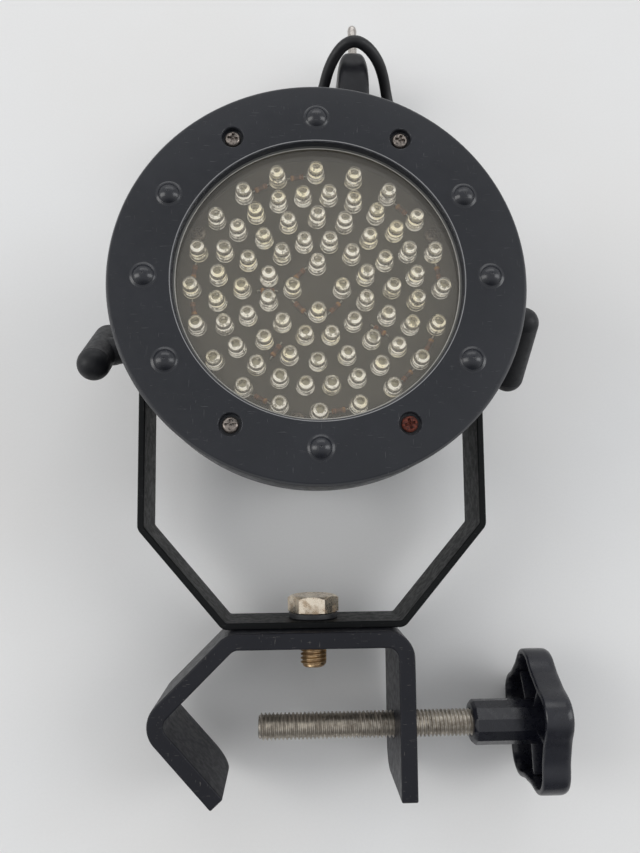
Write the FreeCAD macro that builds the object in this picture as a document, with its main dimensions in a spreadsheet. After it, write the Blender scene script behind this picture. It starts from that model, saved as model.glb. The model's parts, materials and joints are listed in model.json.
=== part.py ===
"""LED spot head on a bent-strip yoke, bolted to a pipe clamp.

Frame: millimetres, +Z up. The origin is the centre of the rear face that the head stands on,
+Z is the optical axis, X is the tilt axis, and the yoke and the clamp lie towards -Y.
The yoke and the clamp slope down from the tilt axis, so that the clamp's edge rests on the table.
"""
import FreeCAD, Part
import math
import os
import Sketcher
from FreeCAD import Placement, Rotation, Vector

SIZES = {
    # head, along its axis
    "face_level": 118.0, "bezel_radius": 62.5, "bezel_thick": 3.0, "bezel_edge": 1.2,
    "window_radius": 43.35, "fixing_circle": 51.5, "recess_radius": 3.25, "recess_depth": 1.8,
    "small_screw": 1.5, "small_head": 2.5, "small_head_tall": 1.3, "bezel_screw_long": 9.0,
    "dome_radius": 3.4, "dome_rise": 1.9, "rivet_long": 6.0,
    "collar_radius": 61.9, "collar_low": 98.0, "collar_seam": 0.6, "collar_land": 60.5,
    "collar_seat": 46.6, "collar_bore": 45.0, "shelf_bore": 38.5, "shelf_level": 100.5,
    "groove_in": 55.2, "groove_out": 59.4, "groove_top": 112.0,
    "glass_radius": 46.4, "glass_thick": 1.6, "gasket_bore": 43.8, "gasket_thick": 1.5,
    # lamp board
    "board_radius": 44.8, "board_thick": 1.6, "board_level": 104.5, "board_screw": 1.2,
    "board_head": 2.4, "board_head_tall": 1.5, "board_fixing": 41.5, "standoff_radius": 2.5,
    "board_screw_long": 5.5,
    "lamp_radius": 2.5, "lamp_flange": 2.9, "lamp_flange_tall": 1.0, "lamp_tall": 8.6,
    "lamp_step": 7.74, "resistor_radius": 0.9, "resistor_long": 4.4,
    # housing
    "can_radius": 51.0, "can_wall": 1.5, "can_low": 12.0, "flange_radius": 56.0,
    "flange_thick": 1.5, "flange_circle": 53.5, "flange_head": 2.2, "flange_screw_long": 9.0,
    "cover_wall": 1.5, "cover_round": 6.0, "spigot_out": 49.4, "spigot_in": 48.0,
    "spigot_top": 18.0, "spigot_root": 9.0, "cover_screw_level": 15.0, "cover_screw_long": 4.0,
    "vent_long": 22.0, "vent_wide": 3.0, "vent_level": 72.0,
    # supply inside the housing
    "supply_width": 56.0, "supply_depth": 44.0, "supply_level": 7.5, "supply_thick": 1.6,
    "pillar_radius": 3.0, "pillar_x": 24.0, "pillar_y": 18.0,
    "transformer_x": 26.0, "transformer_y": 22.0, "transformer_tall": 20.0,
    "transformer_at_x": -12.0, "transformer_at_y": -3.0, "capacitor_at_x": 7.0,
    "capacitor_at_y": 6.0, "terminal_at_y": 16.5,
    "capacitor_radius": 5.0, "capacitor_tall": 16.0,
    "terminal_x": 20.0, "terminal_y": 9.0, "terminal_tall": 10.0,
    "wire_radius": 0.8,
    # cable gland, on the +Y side
    "gland_level": 30.0, "gland_seat": 53.0, "gland_seat_radius": 11.0, "gland_seat_in": 48.0,
    "gland_thread": 6.2, "gland_hex": 17.0, "gland_hex_tall": 5.0, "gland_cap": 8.0,
    "gland_cap_tall": 9.0, "gland_nut_tall": 4.0, "gland_tail": 43.0, "seal_radius": 4.4,
    "seal_front": 68.5, "cord_radius": 2.5, "cord_bore": 2.55,
    # tilt pivot, along X
    "pivot_level": 38.4, "boss_radius": 10.0, "boss_in": 46.0, "boss_out": 61.5,
    "stud_radius": 4.0, "stud_bore": 4.05, "stud_in": 50.0, "friction_radius": 12.0,
    "friction_thick": 1.45, "lock_washer": 8.0, "lock_washer_thick": 1.5, "neck_radius": 5.0,
    "bar_radius": 6.25, "bar_half": 13.9, "bar_centre": 82.6, "bar_left_lean": 36.0,
    "bar_right_lean": 34.0,
    # yoke strip, in the sloped frame
    "slope": 4.9, "yoke_thick": 2.5, "yoke_width": 25.0, "yoke_bend": 3.0, "yoke_arm": 64.25,
    "yoke_end": 12.5, "yoke_corner": 69.0, "yoke_foot": 33.2, "yoke_floor": 105.4,
    "bolt_radius": 5.0, "bolt_bore": 5.05,
    # clamp strip, in the sloped frame, to its middle line
    "clamp_thick": 6.0, "clamp_width": 40.0, "clamp_top": 109.7, "clamp_arm": 33.2,
    "clamp_arm_end": 166.5, "clamp_shoulder": 30.5, "clamp_elbow_x": 59.6,
    "clamp_elbow_y": 138.2, "clamp_tip_x": 35.1, "clamp_tip_y": 165.5, "clamp_bend": 7.0,
    "clamp_round": 9.0,
    "washer_radius": 9.4, "washer_thick": 2.0, "bolt_hex": 17.0, "bolt_hex_tall": 6.4,
    "bolt_end": 122.5, "bolt_turn": 12.0,
    # clamp screw and its knob, in the sloped frame
    "screw_axis": 144.7, "screw_tip": 21.1, "screw_tail": 80.0, "screw_chamfer": 1.0,
    "stem_start": 60.0, "stem_end": 82.2, "stem_radius": 8.3, "knob_back": 92.0,
    "knob_front": 81.2, "knob_core": 22.6, "lobe_circle": 17.5, "lobe_radius": 9.5,
    "insert_flats": 12.4, "insert_start": 61.0, "insert_end": 77.0, "lobe_turn": 70.0,
    "fit_gap": 0.2, "washer_gap": 0.05,
    # cord, coil and plug
    "coil_x": 24.0, "coil_y": 91.0, "coil_out": 27.5, "coil_in": 22.5, "coil_tall": 25.0,
    "plug_x": 21.0, "plug_nose": 143.5, "plug_rear": 105.0, "plug_thick": 14.6,
    "plug_tall": 30.0, "plug_neck": 17.0, "plug_level": 15.1,
    "plug_tip": 20.4, "plug_tip_long": 14.0, "pin_radius": 2.0,
    "pin_long": 14.5, "pin_gap": 18.6, "relief_end": 84.0, "relief_radius": 4.6,
    "relief_tip": 3.1,
}

SCREW_ANGLES = (60, 120, 240, 300)
DOME_ANGLES = (0, 30, 90, 150, 180, 210, 270, 330)
CORNER_ANGLES = (45, 135, 225, 315)
STANDOFF_ANGLES = (27, 153, 261)
LAMP_RINGS = ((4, 90.0), (12, 15.0), (16, 90.0), (24, 7.5), (20, 90.0))   # count, first angle
# lamp ring, angle and whether the resistor lies across the ring's radius
RESISTORS = (
    (5, 9, True), (5, 45, True), (5, 99, True), (5, 117, True), (5, 171, True), (5, 189, True),
    (5, 243, True), (5, 279, True), (5, 315, True), (5, 333, True), (1, 135, True), (1, 225, True),
    (1, 315, True), (2, 180, False), (3, 236.25, False), (3, 326.25, False),
)
# middle line of the cord: from the gland to the coil, and from the coil over the plug to its tail
FEED_ROUTE = ((0, 68.5, 30), (0, 79, 30), (1, 90.5, 22.6))
TAIL_ROUTE = (
    (1, 91, 2.7), (1.4, 101, 3.1), (2.8, 111, 6), (4.9, 121, 12.5), (7.6, 129, 19.5),
    (10.1, 135.3, 27.4), (14.8, 139.9, 34.3), (20.5, 141.6, 37), (26.4, 140.2, 35), (31.9, 137.2, 29.4),
    (35.2, 133.4, 22.5), (37.2, 127.5, 16), (41.5, 115, 10.5), (46.5, 102, 7.5), (51.5, 88.5, 6.5),
    (54, 75, 6.5), (49.5, 60.5, 8), (37.5, 55, 11), (25.5, 60, 14), (21, 72, 15.1), (21, 84, 15.1),
)
WIRE_ROUTES = (
    ((14, -14, 9.1), (14, -14, 40), (20, -6, 72), (20, -6, 102.9)),
    ((17, -14, 9.1), (17, -14, 40), (23, -6, 72), (23, -6, 102.9)),
)
LEAD_ROUTE = ((0, 68.5, 30), (0, 40, 30), (0, 24, 28), (0, 22, 19.1))

DOC = FreeCAD.newDocument("spot_head")
NODES = []
X_AXIS, Y_AXIS, Z_AXIS = Vector(1, 0, 0), Vector(0, 1, 0), Vector(0, 0, 1)


def fill_sheet():
    """Put every driving dimension in its own named cell."""
    sheet = DOC.addObject("Spreadsheet::Sheet", "sizes")
    for row, (alias, number) in enumerate(SIZES.items(), start=1):
        sheet.set(f"A{row}", alias)
        sheet.set(f"B{row}", str(number))
        sheet.setAlias(f"B{row}", alias)
    DOC.recompute()
    return sheet


def words(text):
    """Split a sum such as "a - 2*b" into (sign, factor, alias) terms."""
    sign, terms = 1, []
    for word in text.split():
        if word in "+-":
            sign = 1 if word == "+" else -1
            continue
        factor, _, alias = word.rpartition("*")
        terms.append((sign, float(factor or 1), alias))
    return terms


def value(text):
    """The number that a sum of cells stands for."""
    return sum(sign * factor * SIZES[alias] for sign, factor, alias in words(text))


def expression(text):
    """The same sum as an expression of the sheet's cells."""
    return " ".join(f"{'+' if sign > 0 else '-'} {factor} * sizes.{alias}"
                    for sign, factor, alias in words(text)).lstrip("+ ")


def bind(item, prop, text):
    item.setExpression(prop, expression(text))


def sloped(local=Placement()):
    """A place in the frame of the yoke and the clamp, whose origin is on the tilt axis."""
    frame = Placement(Vector(0, 0, SIZES["pivot_level"]), Rotation(X_AXIS, SIZES["slope"]))
    return frame.multiply(local)


def along_x(x=0.0, y=0.0, z=0.0, facing=1):
    """A place whose own Z runs along +X or -X."""
    return Placement(Vector(x, y, z), Rotation(Y_AXIS, 90 * facing))


def along_y(x=0.0, y=0.0, z=0.0, facing=1):
    """A place whose own Z runs along +Y or -Y."""
    return Placement(Vector(x, y, z), Rotation(X_AXIS, -90 * facing))


def up(x=0.0, y=0.0, z=0.0):
    return Placement(Vector(x, y, z), Rotation())


def on_circle(radius, degrees, z=0.0):
    turn = math.radians(degrees)
    return Vector(radius * math.cos(turn), radius * math.sin(turn), z)


def cylinder(radius, height, place=Placement()):
    item = DOC.addObject("Part::Cylinder", "cylinder")
    bind(item, "Radius", radius)
    bind(item, "Height", height)
    item.Placement = place
    return item


def cone(radius, end_radius, height, place=Placement()):
    item = DOC.addObject("Part::Cone", "cone")
    bind(item, "Radius1", radius)
    bind(item, "Radius2", end_radius)
    bind(item, "Height", height)
    item.Placement = place
    return item


def box(length, width, height, centre_x=0.0, centre_y=0.0, z=0.0):
    item = DOC.addObject("Part::Box", "box")
    for prop, text in (("Length", length), ("Width", width), ("Height", height)):
        bind(item, prop, text)
    item.Placement = up(centre_x - value(length) / 2, centre_y - value(width) / 2, z)
    return item


def hexagon(flats, height, place=Placement()):
    """A hexagonal prism, given by its width across the flats."""
    item = DOC.addObject("Part::Prism", "hexagon")
    item.Polygon = 6
    item.setExpression("Circumradius", f"sizes.{flats} / 2 / cos(30 deg)")
    bind(item, "Height", height)
    item.Placement = place
    return item


def fuse(*items):
    item = DOC.addObject("Part::MultiFuse", "fusion")
    item.Shapes = list(items)
    return item


def cut(base, *tools):
    item = DOC.addObject("Part::Cut", "cut")
    item.Base = base
    item.Tool = tools[0] if len(tools) == 1 else fuse(*tools)
    return item


def node(item, label):
    """Name a finished sub-part and put it on the list that is written out."""
    item.Label = label
    NODES.append(item)
    return item


def group(label, items):
    item = DOC.addObject("Part::Compound", "group")
    item.Links = list(items)
    return node(item, label)


def copies(master, places):
    """The same piece at several places, each a separate solid."""
    DOC.recompute()
    made = []
    for place in places:
        item = DOC.addObject("Part::Feature", "copy")
        item.Shape = master.Shape.copy()
        item.Placement = place.multiply(master.Placement)
        made.append(item)
    return made


def origin_plane(body, role):
    return next(item for item in body.Origin.OriginFeatures if item.Role == role)


def outline(body, role, corners, offset=None):
    """A closed sketch of straight sides, each corner held by two bound distances."""
    sketch = body.newObject("Sketcher::SketchObject", "outline")
    sketch.AttachmentSupport = [(origin_plane(body, role), "")]
    sketch.MapMode = "FlatFace"
    if offset:
        sketch.setExpression("AttachmentOffset.Base.z", expression(offset))
    points = [Vector(value(x), value(y), 0) for x, y in corners]
    count = len(points)
    for index, point in enumerate(points):
        sketch.addGeometry(Part.LineSegment(point, points[(index + 1) % count]), False)
    for index in range(count):
        sketch.addConstraint(Sketcher.Constraint("Coincident", index, 2, (index + 1) % count, 1))
    for index, (x, y) in enumerate(corners):
        for kind, text, axis in (("DistanceX", x, -2), ("DistanceY", y, -1)):
            if not text:
                sketch.addConstraint(Sketcher.Constraint("PointOnObject", index, 1, axis))
                continue
            number = value(text)
            held = sketch.addConstraint(Sketcher.Constraint(kind, -1, 1, index, 1, number))
            sketch.setExpression(f"Constraints[{held}]", expression(text))
    return sketch


def turned(label, corners, place=Placement()):
    """A body turned about its own Z axis; corners are (radius, level), "" being nought."""
    body = DOC.addObject("PartDesign::Body", label + "_body")
    profile = outline(body, "XZ_Plane", corners)
    spin = body.newObject("PartDesign::Revolution", "spin")
    spin.Profile = profile
    spin.ReferenceAxis = (profile, ["V_Axis"])
    spin.Angle = 360
    body.Placement = place
    DOC.recompute()
    return body


def rounded(body, label, radius, wanted):
    """Round the edges of a body's tip that the test picks."""
    tip = body.Tip
    names = [f"Edge{number}" for number, edge in enumerate(tip.Shape.Edges, start=1) if wanted(edge)]
    fillet = body.newObject("PartDesign::Fillet", label)
    fillet.Base = (tip, names)
    bind(fillet, "Radius", radius)
    body.Tip = fillet
    DOC.recompute()


def is_circle(edge, radius, level):
    """True for a circle of this radius about the Z axis at this level."""
    curve = edge.Curve
    return (isinstance(curve, Part.Circle) and abs(curve.Radius - radius) < 0.01
            and abs(curve.Center.z - level) < 0.01)


def path_edges(points, radius=None):
    """Straight runs joined by tangent arcs, each arc as large as its two runs allow."""
    points = [Vector(*point) for point in points]
    edges, radii, start = [], [], points[0]
    for before, corner, after in zip(points, points[1:], points[2:]):
        back, on = (before - corner), (after - corner)
        half_turn = (math.pi - back.getAngle(on)) / 2
        reach = 0.45 * min(back.Length, on.Length)
        if radius:
            reach = radius * math.tan(half_turn)
        radii.append(reach / math.tan(half_turn))
        back.normalize()
        on.normalize()
        first, last = corner + back * reach, corner + on * reach
        inward = (back + on).normalize()
        depth = radii[-1] / math.cos(half_turn) - radii[-1]
        edges.append(Part.LineSegment(start, first))
        edges.append(Part.Arc(first, corner + inward * depth, last))
        start = last
    edges.append(Part.LineSegment(start, points[-1]))
    return edges, radii


def tube(label, route, radius, bend=None):
    """A round tube along a route, with its volume held to its section times its length."""
    edges, radii = path_edges(route, bend)
    wire = Part.Wire([edge.toShape() for edge in edges])
    first = Vector(*route[1]) - Vector(*route[0])
    ring = Part.Wire(Part.makeCircle(SIZES[radius], Vector(*route[0]), first))
    item = DOC.addObject("Part::Feature", label + "_tube")
    item.Shape = wire.makePipeShell([ring], True, False)
    expected = math.pi * SIZES[radius] ** 2 * wire.Length
    print(f"{label}: length {wire.Length:.1f}, radii {[round(r, 1) for r in radii]}, "
          f"volume {item.Shape.Volume / expected:.3f} of section times length")
    return item


def strip(label, points, width, thick, bend, start_role, start_offset):
    """A flat strip bent in its XY plane along a middle line of straight runs and arcs."""
    body = DOC.addObject("PartDesign::Body", label + "_body")
    line = [(value(x) if x else 0.0, value(y) if y else 0.0, 0.0) for x, y in points]
    spine = body.newObject("Sketcher::SketchObject", "spine")
    spine.AttachmentSupport = [(origin_plane(body, "XY_Plane"), "")]
    spine.MapMode = "FlatFace"
    edges, _ = path_edges(line, SIZES[bend])
    for edge in edges:
        if isinstance(edge, Part.Arc):
            arc = edge.toShape()
            edge = Part.ArcOfCircle(arc.Curve, arc.FirstParameter, arc.LastParameter)
        spine.addGeometry(edge, False)
    start_x = points[0][0]
    corners = [(f"{start_x} {side} 0.5*{thick}", f"{end} 0.5*{width}")
               for side, end in (("-", "-"), ("+", "-"), ("+", "+"), ("-", "+"))]
    section = outline(body, start_role, corners, start_offset)
    DOC.recompute()
    pipe = body.newObject("PartDesign::AdditivePipe", "bent")
    pipe.Profile = section
    pipe.Spine = (spine, [f"Edge{number + 1}" for number in range(len(edges))])
    DOC.recompute()
    return body


def drill(body, label, role, centre, radius, offset=None):
    """Cut a round hole right through a body and make sure that it took something away."""
    before = body.Shape.Volume
    sketch = body.newObject("Sketcher::SketchObject", label + "_circle")
    sketch.AttachmentSupport = [(origin_plane(body, role), "")]
    sketch.MapMode = "FlatFace"
    x, y = (value(text) if text else 0.0 for text in centre)
    sketch.addGeometry(Part.Circle(Vector(x, y, 0), Z_AXIS, SIZES[radius]), False)
    held = sketch.addConstraint(Sketcher.Constraint("Radius", 0, SIZES[radius]))
    bind(sketch, f"Constraints[{held}]", radius)
    pocket = body.newObject("PartDesign::Pocket", label)
    pocket.Profile = sketch
    pocket.Type = "ThroughAll"
    pocket.Midplane = True
    body.Tip = pocket
    DOC.recompute()
    if not body.Shape.Volume < before - 1:
        raise RuntimeError(f"{label} cut nothing")


def build_bezel():
    """The flat front ring with its window opening, recesses and dome rivets."""
    ring = turned("front_bezel", [
        ("window_radius", "face_level - bezel_thick"), ("bezel_radius", "face_level - bezel_thick"),
        ("bezel_radius", "face_level"), ("window_radius", "face_level")])
    top = SIZES["face_level"]
    rounded(ring, "edge_round", "bezel_edge",
            lambda edge: is_circle(edge, SIZES["bezel_radius"], top))
    under = top - SIZES["bezel_thick"]
    floor = top - SIZES["recess_depth"]
    holes = []
    for angle in SCREW_ANGLES:
        place = up(*on_circle(SIZES["fixing_circle"], angle, floor))
        holes.append(cylinder("recess_radius", "bezel_thick", place))
    for angle in SCREW_ANGLES + DOME_ANGLES:
        place = up(*on_circle(SIZES["fixing_circle"], angle, under))
        holes.append(cylinder("small_screw", "bezel_thick", place))
    node(cut(ring, *holes), "front_bezel")

    screw = fuse(cylinder("small_head", "small_head_tall"),
                 cylinder("small_screw", "bezel_screw_long",
                          up(0, 0, -SIZES["bezel_screw_long"])))
    places = [up(*on_circle(SIZES["fixing_circle"], angle, floor)) for angle in SCREW_ANGLES]
    group("bezel_screws", copies(screw, places))

    sphere = DOC.addObject("Part::Sphere", "dome")
    radius, rise = SIZES["dome_radius"], SIZES["dome_rise"]
    ball = (radius ** 2 + rise ** 2) / (2 * rise)
    sphere.setExpression("Radius", "(sizes.dome_radius ^ 2 + sizes.dome_rise ^ 2)"
                                   " / (2 * sizes.dome_rise)")
    sphere.Angle1 = math.degrees(math.asin((ball - rise) / ball))
    sphere.Placement = up(0, 0, rise - ball)
    shank = SIZES["rivet_long"]
    rivet = fuse(sphere, cylinder("small_screw", "rivet_long", up(0, 0, -shank)))
    places = [up(*on_circle(SIZES["fixing_circle"], angle, top)) for angle in DOME_ANGLES]
    group("bezel_rivets", copies(rivet, places))


def build_collar():
    """The thick cast ring behind the bezel, which carries the window and the lamp board."""
    under = "face_level - bezel_thick"
    gasket_low = "face_level - bezel_thick - glass_thick - gasket_thick"
    ring = turned("front_collar", [
        ("shelf_bore", "collar_low"), ("groove_in", "collar_low"), ("groove_in", "groove_top"),
        ("groove_out", "groove_top"), ("groove_out", "collar_low"),
        ("collar_radius", "collar_low"), ("collar_radius", under + " - collar_seam"),
        ("collar_land", under + " - collar_seam"), ("collar_land", under),
        ("collar_seat", under), ("collar_seat", gasket_low), ("collar_bore", gasket_low),
        ("collar_bore", "shelf_level"), ("shelf_bore", "shelf_level")])
    holes = []
    shank_low = SIZES["face_level"] - SIZES["recess_depth"] - SIZES["bezel_screw_long"]
    for angle in SCREW_ANGLES:
        place = up(*on_circle(SIZES["fixing_circle"], angle, shank_low))
        holes.append(cylinder("small_screw", "bezel_screw_long", place))
    for angle in DOME_ANGLES:
        low = SIZES["face_level"] - SIZES["rivet_long"]
        place = up(*on_circle(SIZES["fixing_circle"], angle, low))
        holes.append(cylinder("small_screw", "rivet_long", place))
    for angle in CORNER_ANGLES:
        place = up(*on_circle(SIZES["flange_circle"], angle, SIZES["collar_low"]))
        holes.append(cylinder("small_screw", "flange_screw_long - flange_thick", place))
    for angle in STANDOFF_ANGLES:
        low = value("board_level - board_screw_long")
        place = up(*on_circle(SIZES["board_fixing"], angle, low))
        holes.append(cylinder("board_screw", "board_screw_long", place))
    node(cut(ring, *holes), "front_collar")

    glass_low = value(under + " - glass_thick")
    node(cylinder("glass_radius", "glass_thick", up(0, 0, glass_low)), "window_glass")
    gasket_place = up(0, 0, value(gasket_low))
    node(cut(cylinder("glass_radius", "gasket_thick", gasket_place),
             cylinder("gasket_bore", "gasket_thick", gasket_place)), "window_gasket")


def build_lamp_board():
    """The round board, its lamps in five rings, its resistors, standoffs and screws."""
    low = value("board_level - board_thick")
    top = SIZES["board_level"]
    holes = [cylinder("board_screw", "board_thick",
                      up(*on_circle(SIZES["board_fixing"], angle, low)))
             for angle in STANDOFF_ANGLES]
    node(cut(cylinder("board_radius", "board_thick", up(0, 0, low)), *holes), "lamp_board")

    shoulder = SIZES["lamp_tall"] - SIZES["lamp_radius"]
    ball = DOC.addObject("Part::Sphere", "lens")
    bind(ball, "Radius", "lamp_radius")
    ball.Placement = up(0, 0, shoulder)
    lamp = fuse(cylinder("lamp_flange", "lamp_flange_tall"),
                cylinder("lamp_radius", "lamp_tall - lamp_radius"), ball)
    for ring, (count, first) in enumerate(LAMP_RINGS, start=1):
        places = [up(*on_circle(ring * SIZES["lamp_step"], first + 360 * index / count, top))
                  for index in range(count)]
        group(f"lamp_ring_{ring}", copies(lamp, places))

    resistor = cylinder("resistor_radius", "resistor_long",
                        along_x(-SIZES["resistor_long"] / 2))
    places = []
    for ring, angle, across in RESISTORS:
        spot = on_circle(ring * SIZES["lamp_step"], angle, top + SIZES["resistor_radius"])
        places.append(Placement(spot, Rotation(Z_AXIS, angle + (90 if across else 0))))
    group("board_resistors", copies(resistor, places))

    shelf = SIZES["shelf_level"]
    pillar = cut(cylinder("standoff_radius", "board_level - board_thick - shelf_level"),
                 cylinder("board_screw", "board_level - board_thick - shelf_level"))
    places = [up(*on_circle(SIZES["board_fixing"], angle, shelf)) for angle in STANDOFF_ANGLES]
    group("board_standoffs", copies(pillar, places))
    screw = fuse(cylinder("board_head", "board_head_tall"),
                 cylinder("board_screw", "board_screw_long",
                          up(0, 0, -SIZES["board_screw_long"])))
    places = [up(*on_circle(SIZES["board_fixing"], angle, top)) for angle in STANDOFF_ANGLES]
    group("board_screws", copies(screw, places))


def build_can():
    """The thin round housing with its front flange, gland seat, pivot holes and vents."""
    shell = turned("can_body", [
        ("can_radius - can_wall", "can_low"), ("can_radius", "can_low"),
        ("can_radius", "collar_low - flange_thick"), ("flange_radius", "collar_low - flange_thick"),
        ("flange_radius", "collar_low"), ("can_radius - can_wall", "collar_low")])
    level = SIZES["gland_level"]
    seat = cylinder("gland_seat_radius", "gland_seat - gland_seat_in",
                    along_y(0, SIZES["gland_seat_in"], level))
    holes = [cylinder("gland_thread", "gland_seat - gland_tail",
                      along_y(0, SIZES["gland_tail"], level))]
    for side in (1, -1):
        place = along_x(side * SIZES["boss_in"], 0, SIZES["pivot_level"], side)
        holes.append(cylinder("boss_radius", "boss_out - boss_in", place))
    for angle in CORNER_ANGLES:
        low = value("collar_low - flange_thick")
        place = up(*on_circle(SIZES["flange_circle"], angle, low))
        holes.append(cylinder("small_screw", "flange_thick", place))
        place = Placement(on_circle(SIZES["spigot_in"], angle, SIZES["cover_screw_level"]),
                          Rotation(Z_AXIS, angle).multiply(Rotation(Y_AXIS, 90)))
        holes.append(cylinder("small_screw", "cover_screw_long", place))
    half_long, wide = SIZES["vent_long"] / 2, SIZES["vent_wide"]
    for angle in range(0, 360, 15):
        slot = box("gland_seat_radius", "vent_wide", "vent_long")
        slot.Placement = Placement(
            on_circle(SIZES["can_radius"] - SIZES["gland_seat_radius"] / 2, angle,
                      SIZES["vent_level"] - half_long),
            Rotation(Z_AXIS, angle), ).multiply(up(0, -wide / 2, 0))
        holes.append(slot)
    node(cut(fuse(shell, seat), *holes), "can_body")

    screw = fuse(cylinder("flange_head", "small_head_tall", up(0, 0, -SIZES["small_head_tall"])),
                 cylinder("small_screw", "flange_screw_long"))
    places = [up(*on_circle(SIZES["flange_circle"], angle,
                            value("collar_low - flange_thick"))) for angle in CORNER_ANGLES]
    group("flange_screws", copies(screw, places))


def build_rear_cover():
    """The shallow pan that closes the back, its spigot inside the housing, and its screws."""
    pan = turned("rear_cover", [
        ("", ""), ("can_radius", ""), ("can_radius", "can_low"), ("spigot_out", "can_low"),
        ("spigot_out", "spigot_top"), ("spigot_in", "spigot_top"), ("spigot_in", "spigot_root"),
        ("can_radius - cover_wall", "spigot_root"), ("can_radius - cover_wall", "cover_wall"),
        ("", "cover_wall")])
    rounded(pan, "rear_round", "cover_round",
            lambda edge: is_circle(edge, SIZES["can_radius"], 0.0))
    rounded(pan, "rear_round_inside", "cover_round - cover_wall",
            lambda edge: is_circle(edge, value("can_radius - cover_wall"), SIZES["cover_wall"]))
    level = SIZES["cover_screw_level"]
    places = [Placement(on_circle(SIZES["spigot_in"], angle, level),
                        Rotation(Z_AXIS, angle).multiply(Rotation(Y_AXIS, 90)))
              for angle in CORNER_ANGLES]
    holes = [cylinder("small_screw", "cover_screw_long", place) for place in places]
    node(cut(pan, *holes), "rear_cover")

    out = value("can_radius - spigot_in + washer_gap")
    screw = fuse(cylinder("small_screw", "cover_screw_long"),
                 cylinder("small_head", "small_head_tall", up(0, 0, out)))
    group("rear_cover_screws", copies(screw, places))


def build_supply():
    """The supply board inside the rear cover and what stands on it."""
    corners = [(x * SIZES["pillar_x"], y * SIZES["pillar_y"]) for x in (-1, 1) for y in (-1, 1)]
    low, top = SIZES["supply_level"], value("supply_level + supply_thick")
    holes = [cylinder("small_screw", "supply_thick", up(x, y, low)) for x, y in corners]
    node(cut(box("supply_width", "supply_depth", "supply_thick", 0, 0, low), *holes),
         "supply_board")
    pillar = cut(cylinder("pillar_radius", "supply_level - cover_wall"),
                 cylinder("small_screw", "supply_level - cover_wall"))
    group("supply_standoffs", copies(pillar, [up(x, y, SIZES["cover_wall"]) for x, y in corners]))
    screw = fuse(cylinder("small_head", "small_head_tall"),
                 cylinder("small_screw", "cover_screw_long", up(0, 0, -SIZES["cover_screw_long"])))
    group("supply_screws", copies(screw, [up(x, y, top) for x, y in corners]))
    node(box("transformer_x", "transformer_y", "transformer_tall",
             SIZES["transformer_at_x"], SIZES["transformer_at_y"], top),
         "supply_transformer")
    capacitor = cylinder("capacitor_radius", "capacitor_tall")
    places = [up(SIZES["capacitor_at_x"], side * SIZES["capacitor_at_y"], top)
              for side in (-1, 1)]
    group("supply_capacitors", copies(capacitor, places))
    node(box("terminal_x", "terminal_y", "terminal_tall", 0, SIZES["terminal_at_y"], top),
         "terminal_block")
    group("lamp_wires", [tube(f"lamp_wire_{number}", route, "wire_radius", 8.0)
                         for number, route in enumerate(WIRE_ROUTES, start=1)])


def build_gland():
    """The cable gland: body, cap nut, rubber seal, lock nut and the lead that it grips."""
    level, seat = SIZES["gland_level"], SIZES["gland_seat"]
    bore = cylinder("cord_bore", "seal_front - gland_tail",
                    along_y(0, SIZES["gland_tail"], level))
    body = fuse(cylinder("gland_thread", "gland_seat - gland_tail + gland_hex_tall",
                         along_y(0, SIZES["gland_tail"], level)),
                hexagon("gland_hex", "gland_hex_tall", along_y(0, seat, level)))
    node(cut(body, bore), "cable_gland")
    cap_start = seat + SIZES["gland_hex_tall"]
    seal_space = cylinder("seal_radius", "seal_front - gland_seat - gland_hex_tall",
                          along_y(0, cap_start, level))
    cap = cone("gland_cap", "gland_cap - cover_wall", "gland_cap_tall",
               along_y(0, cap_start, level))
    node(cut(cap, seal_space), "gland_cap")
    seal = cylinder("seal_radius", "seal_front - gland_seat - gland_hex_tall",
                    along_y(0, cap_start, level))
    bore_again = cylinder("cord_bore", "seal_front - gland_tail",
                          along_y(0, SIZES["gland_tail"], level))
    node(cut(seal, bore_again), "gland_seal")
    nut_place = along_y(0, SIZES["gland_seat_in"] - SIZES["gland_nut_tall"], level)
    node(cut(hexagon("gland_hex", "gland_nut_tall", nut_place),
             cylinder("gland_thread", "gland_nut_tall", nut_place)), "gland_lock_nut")
    node(tube("supply_lead", LEAD_ROUTE, "cord_radius", 4.0), "supply_lead")


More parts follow.
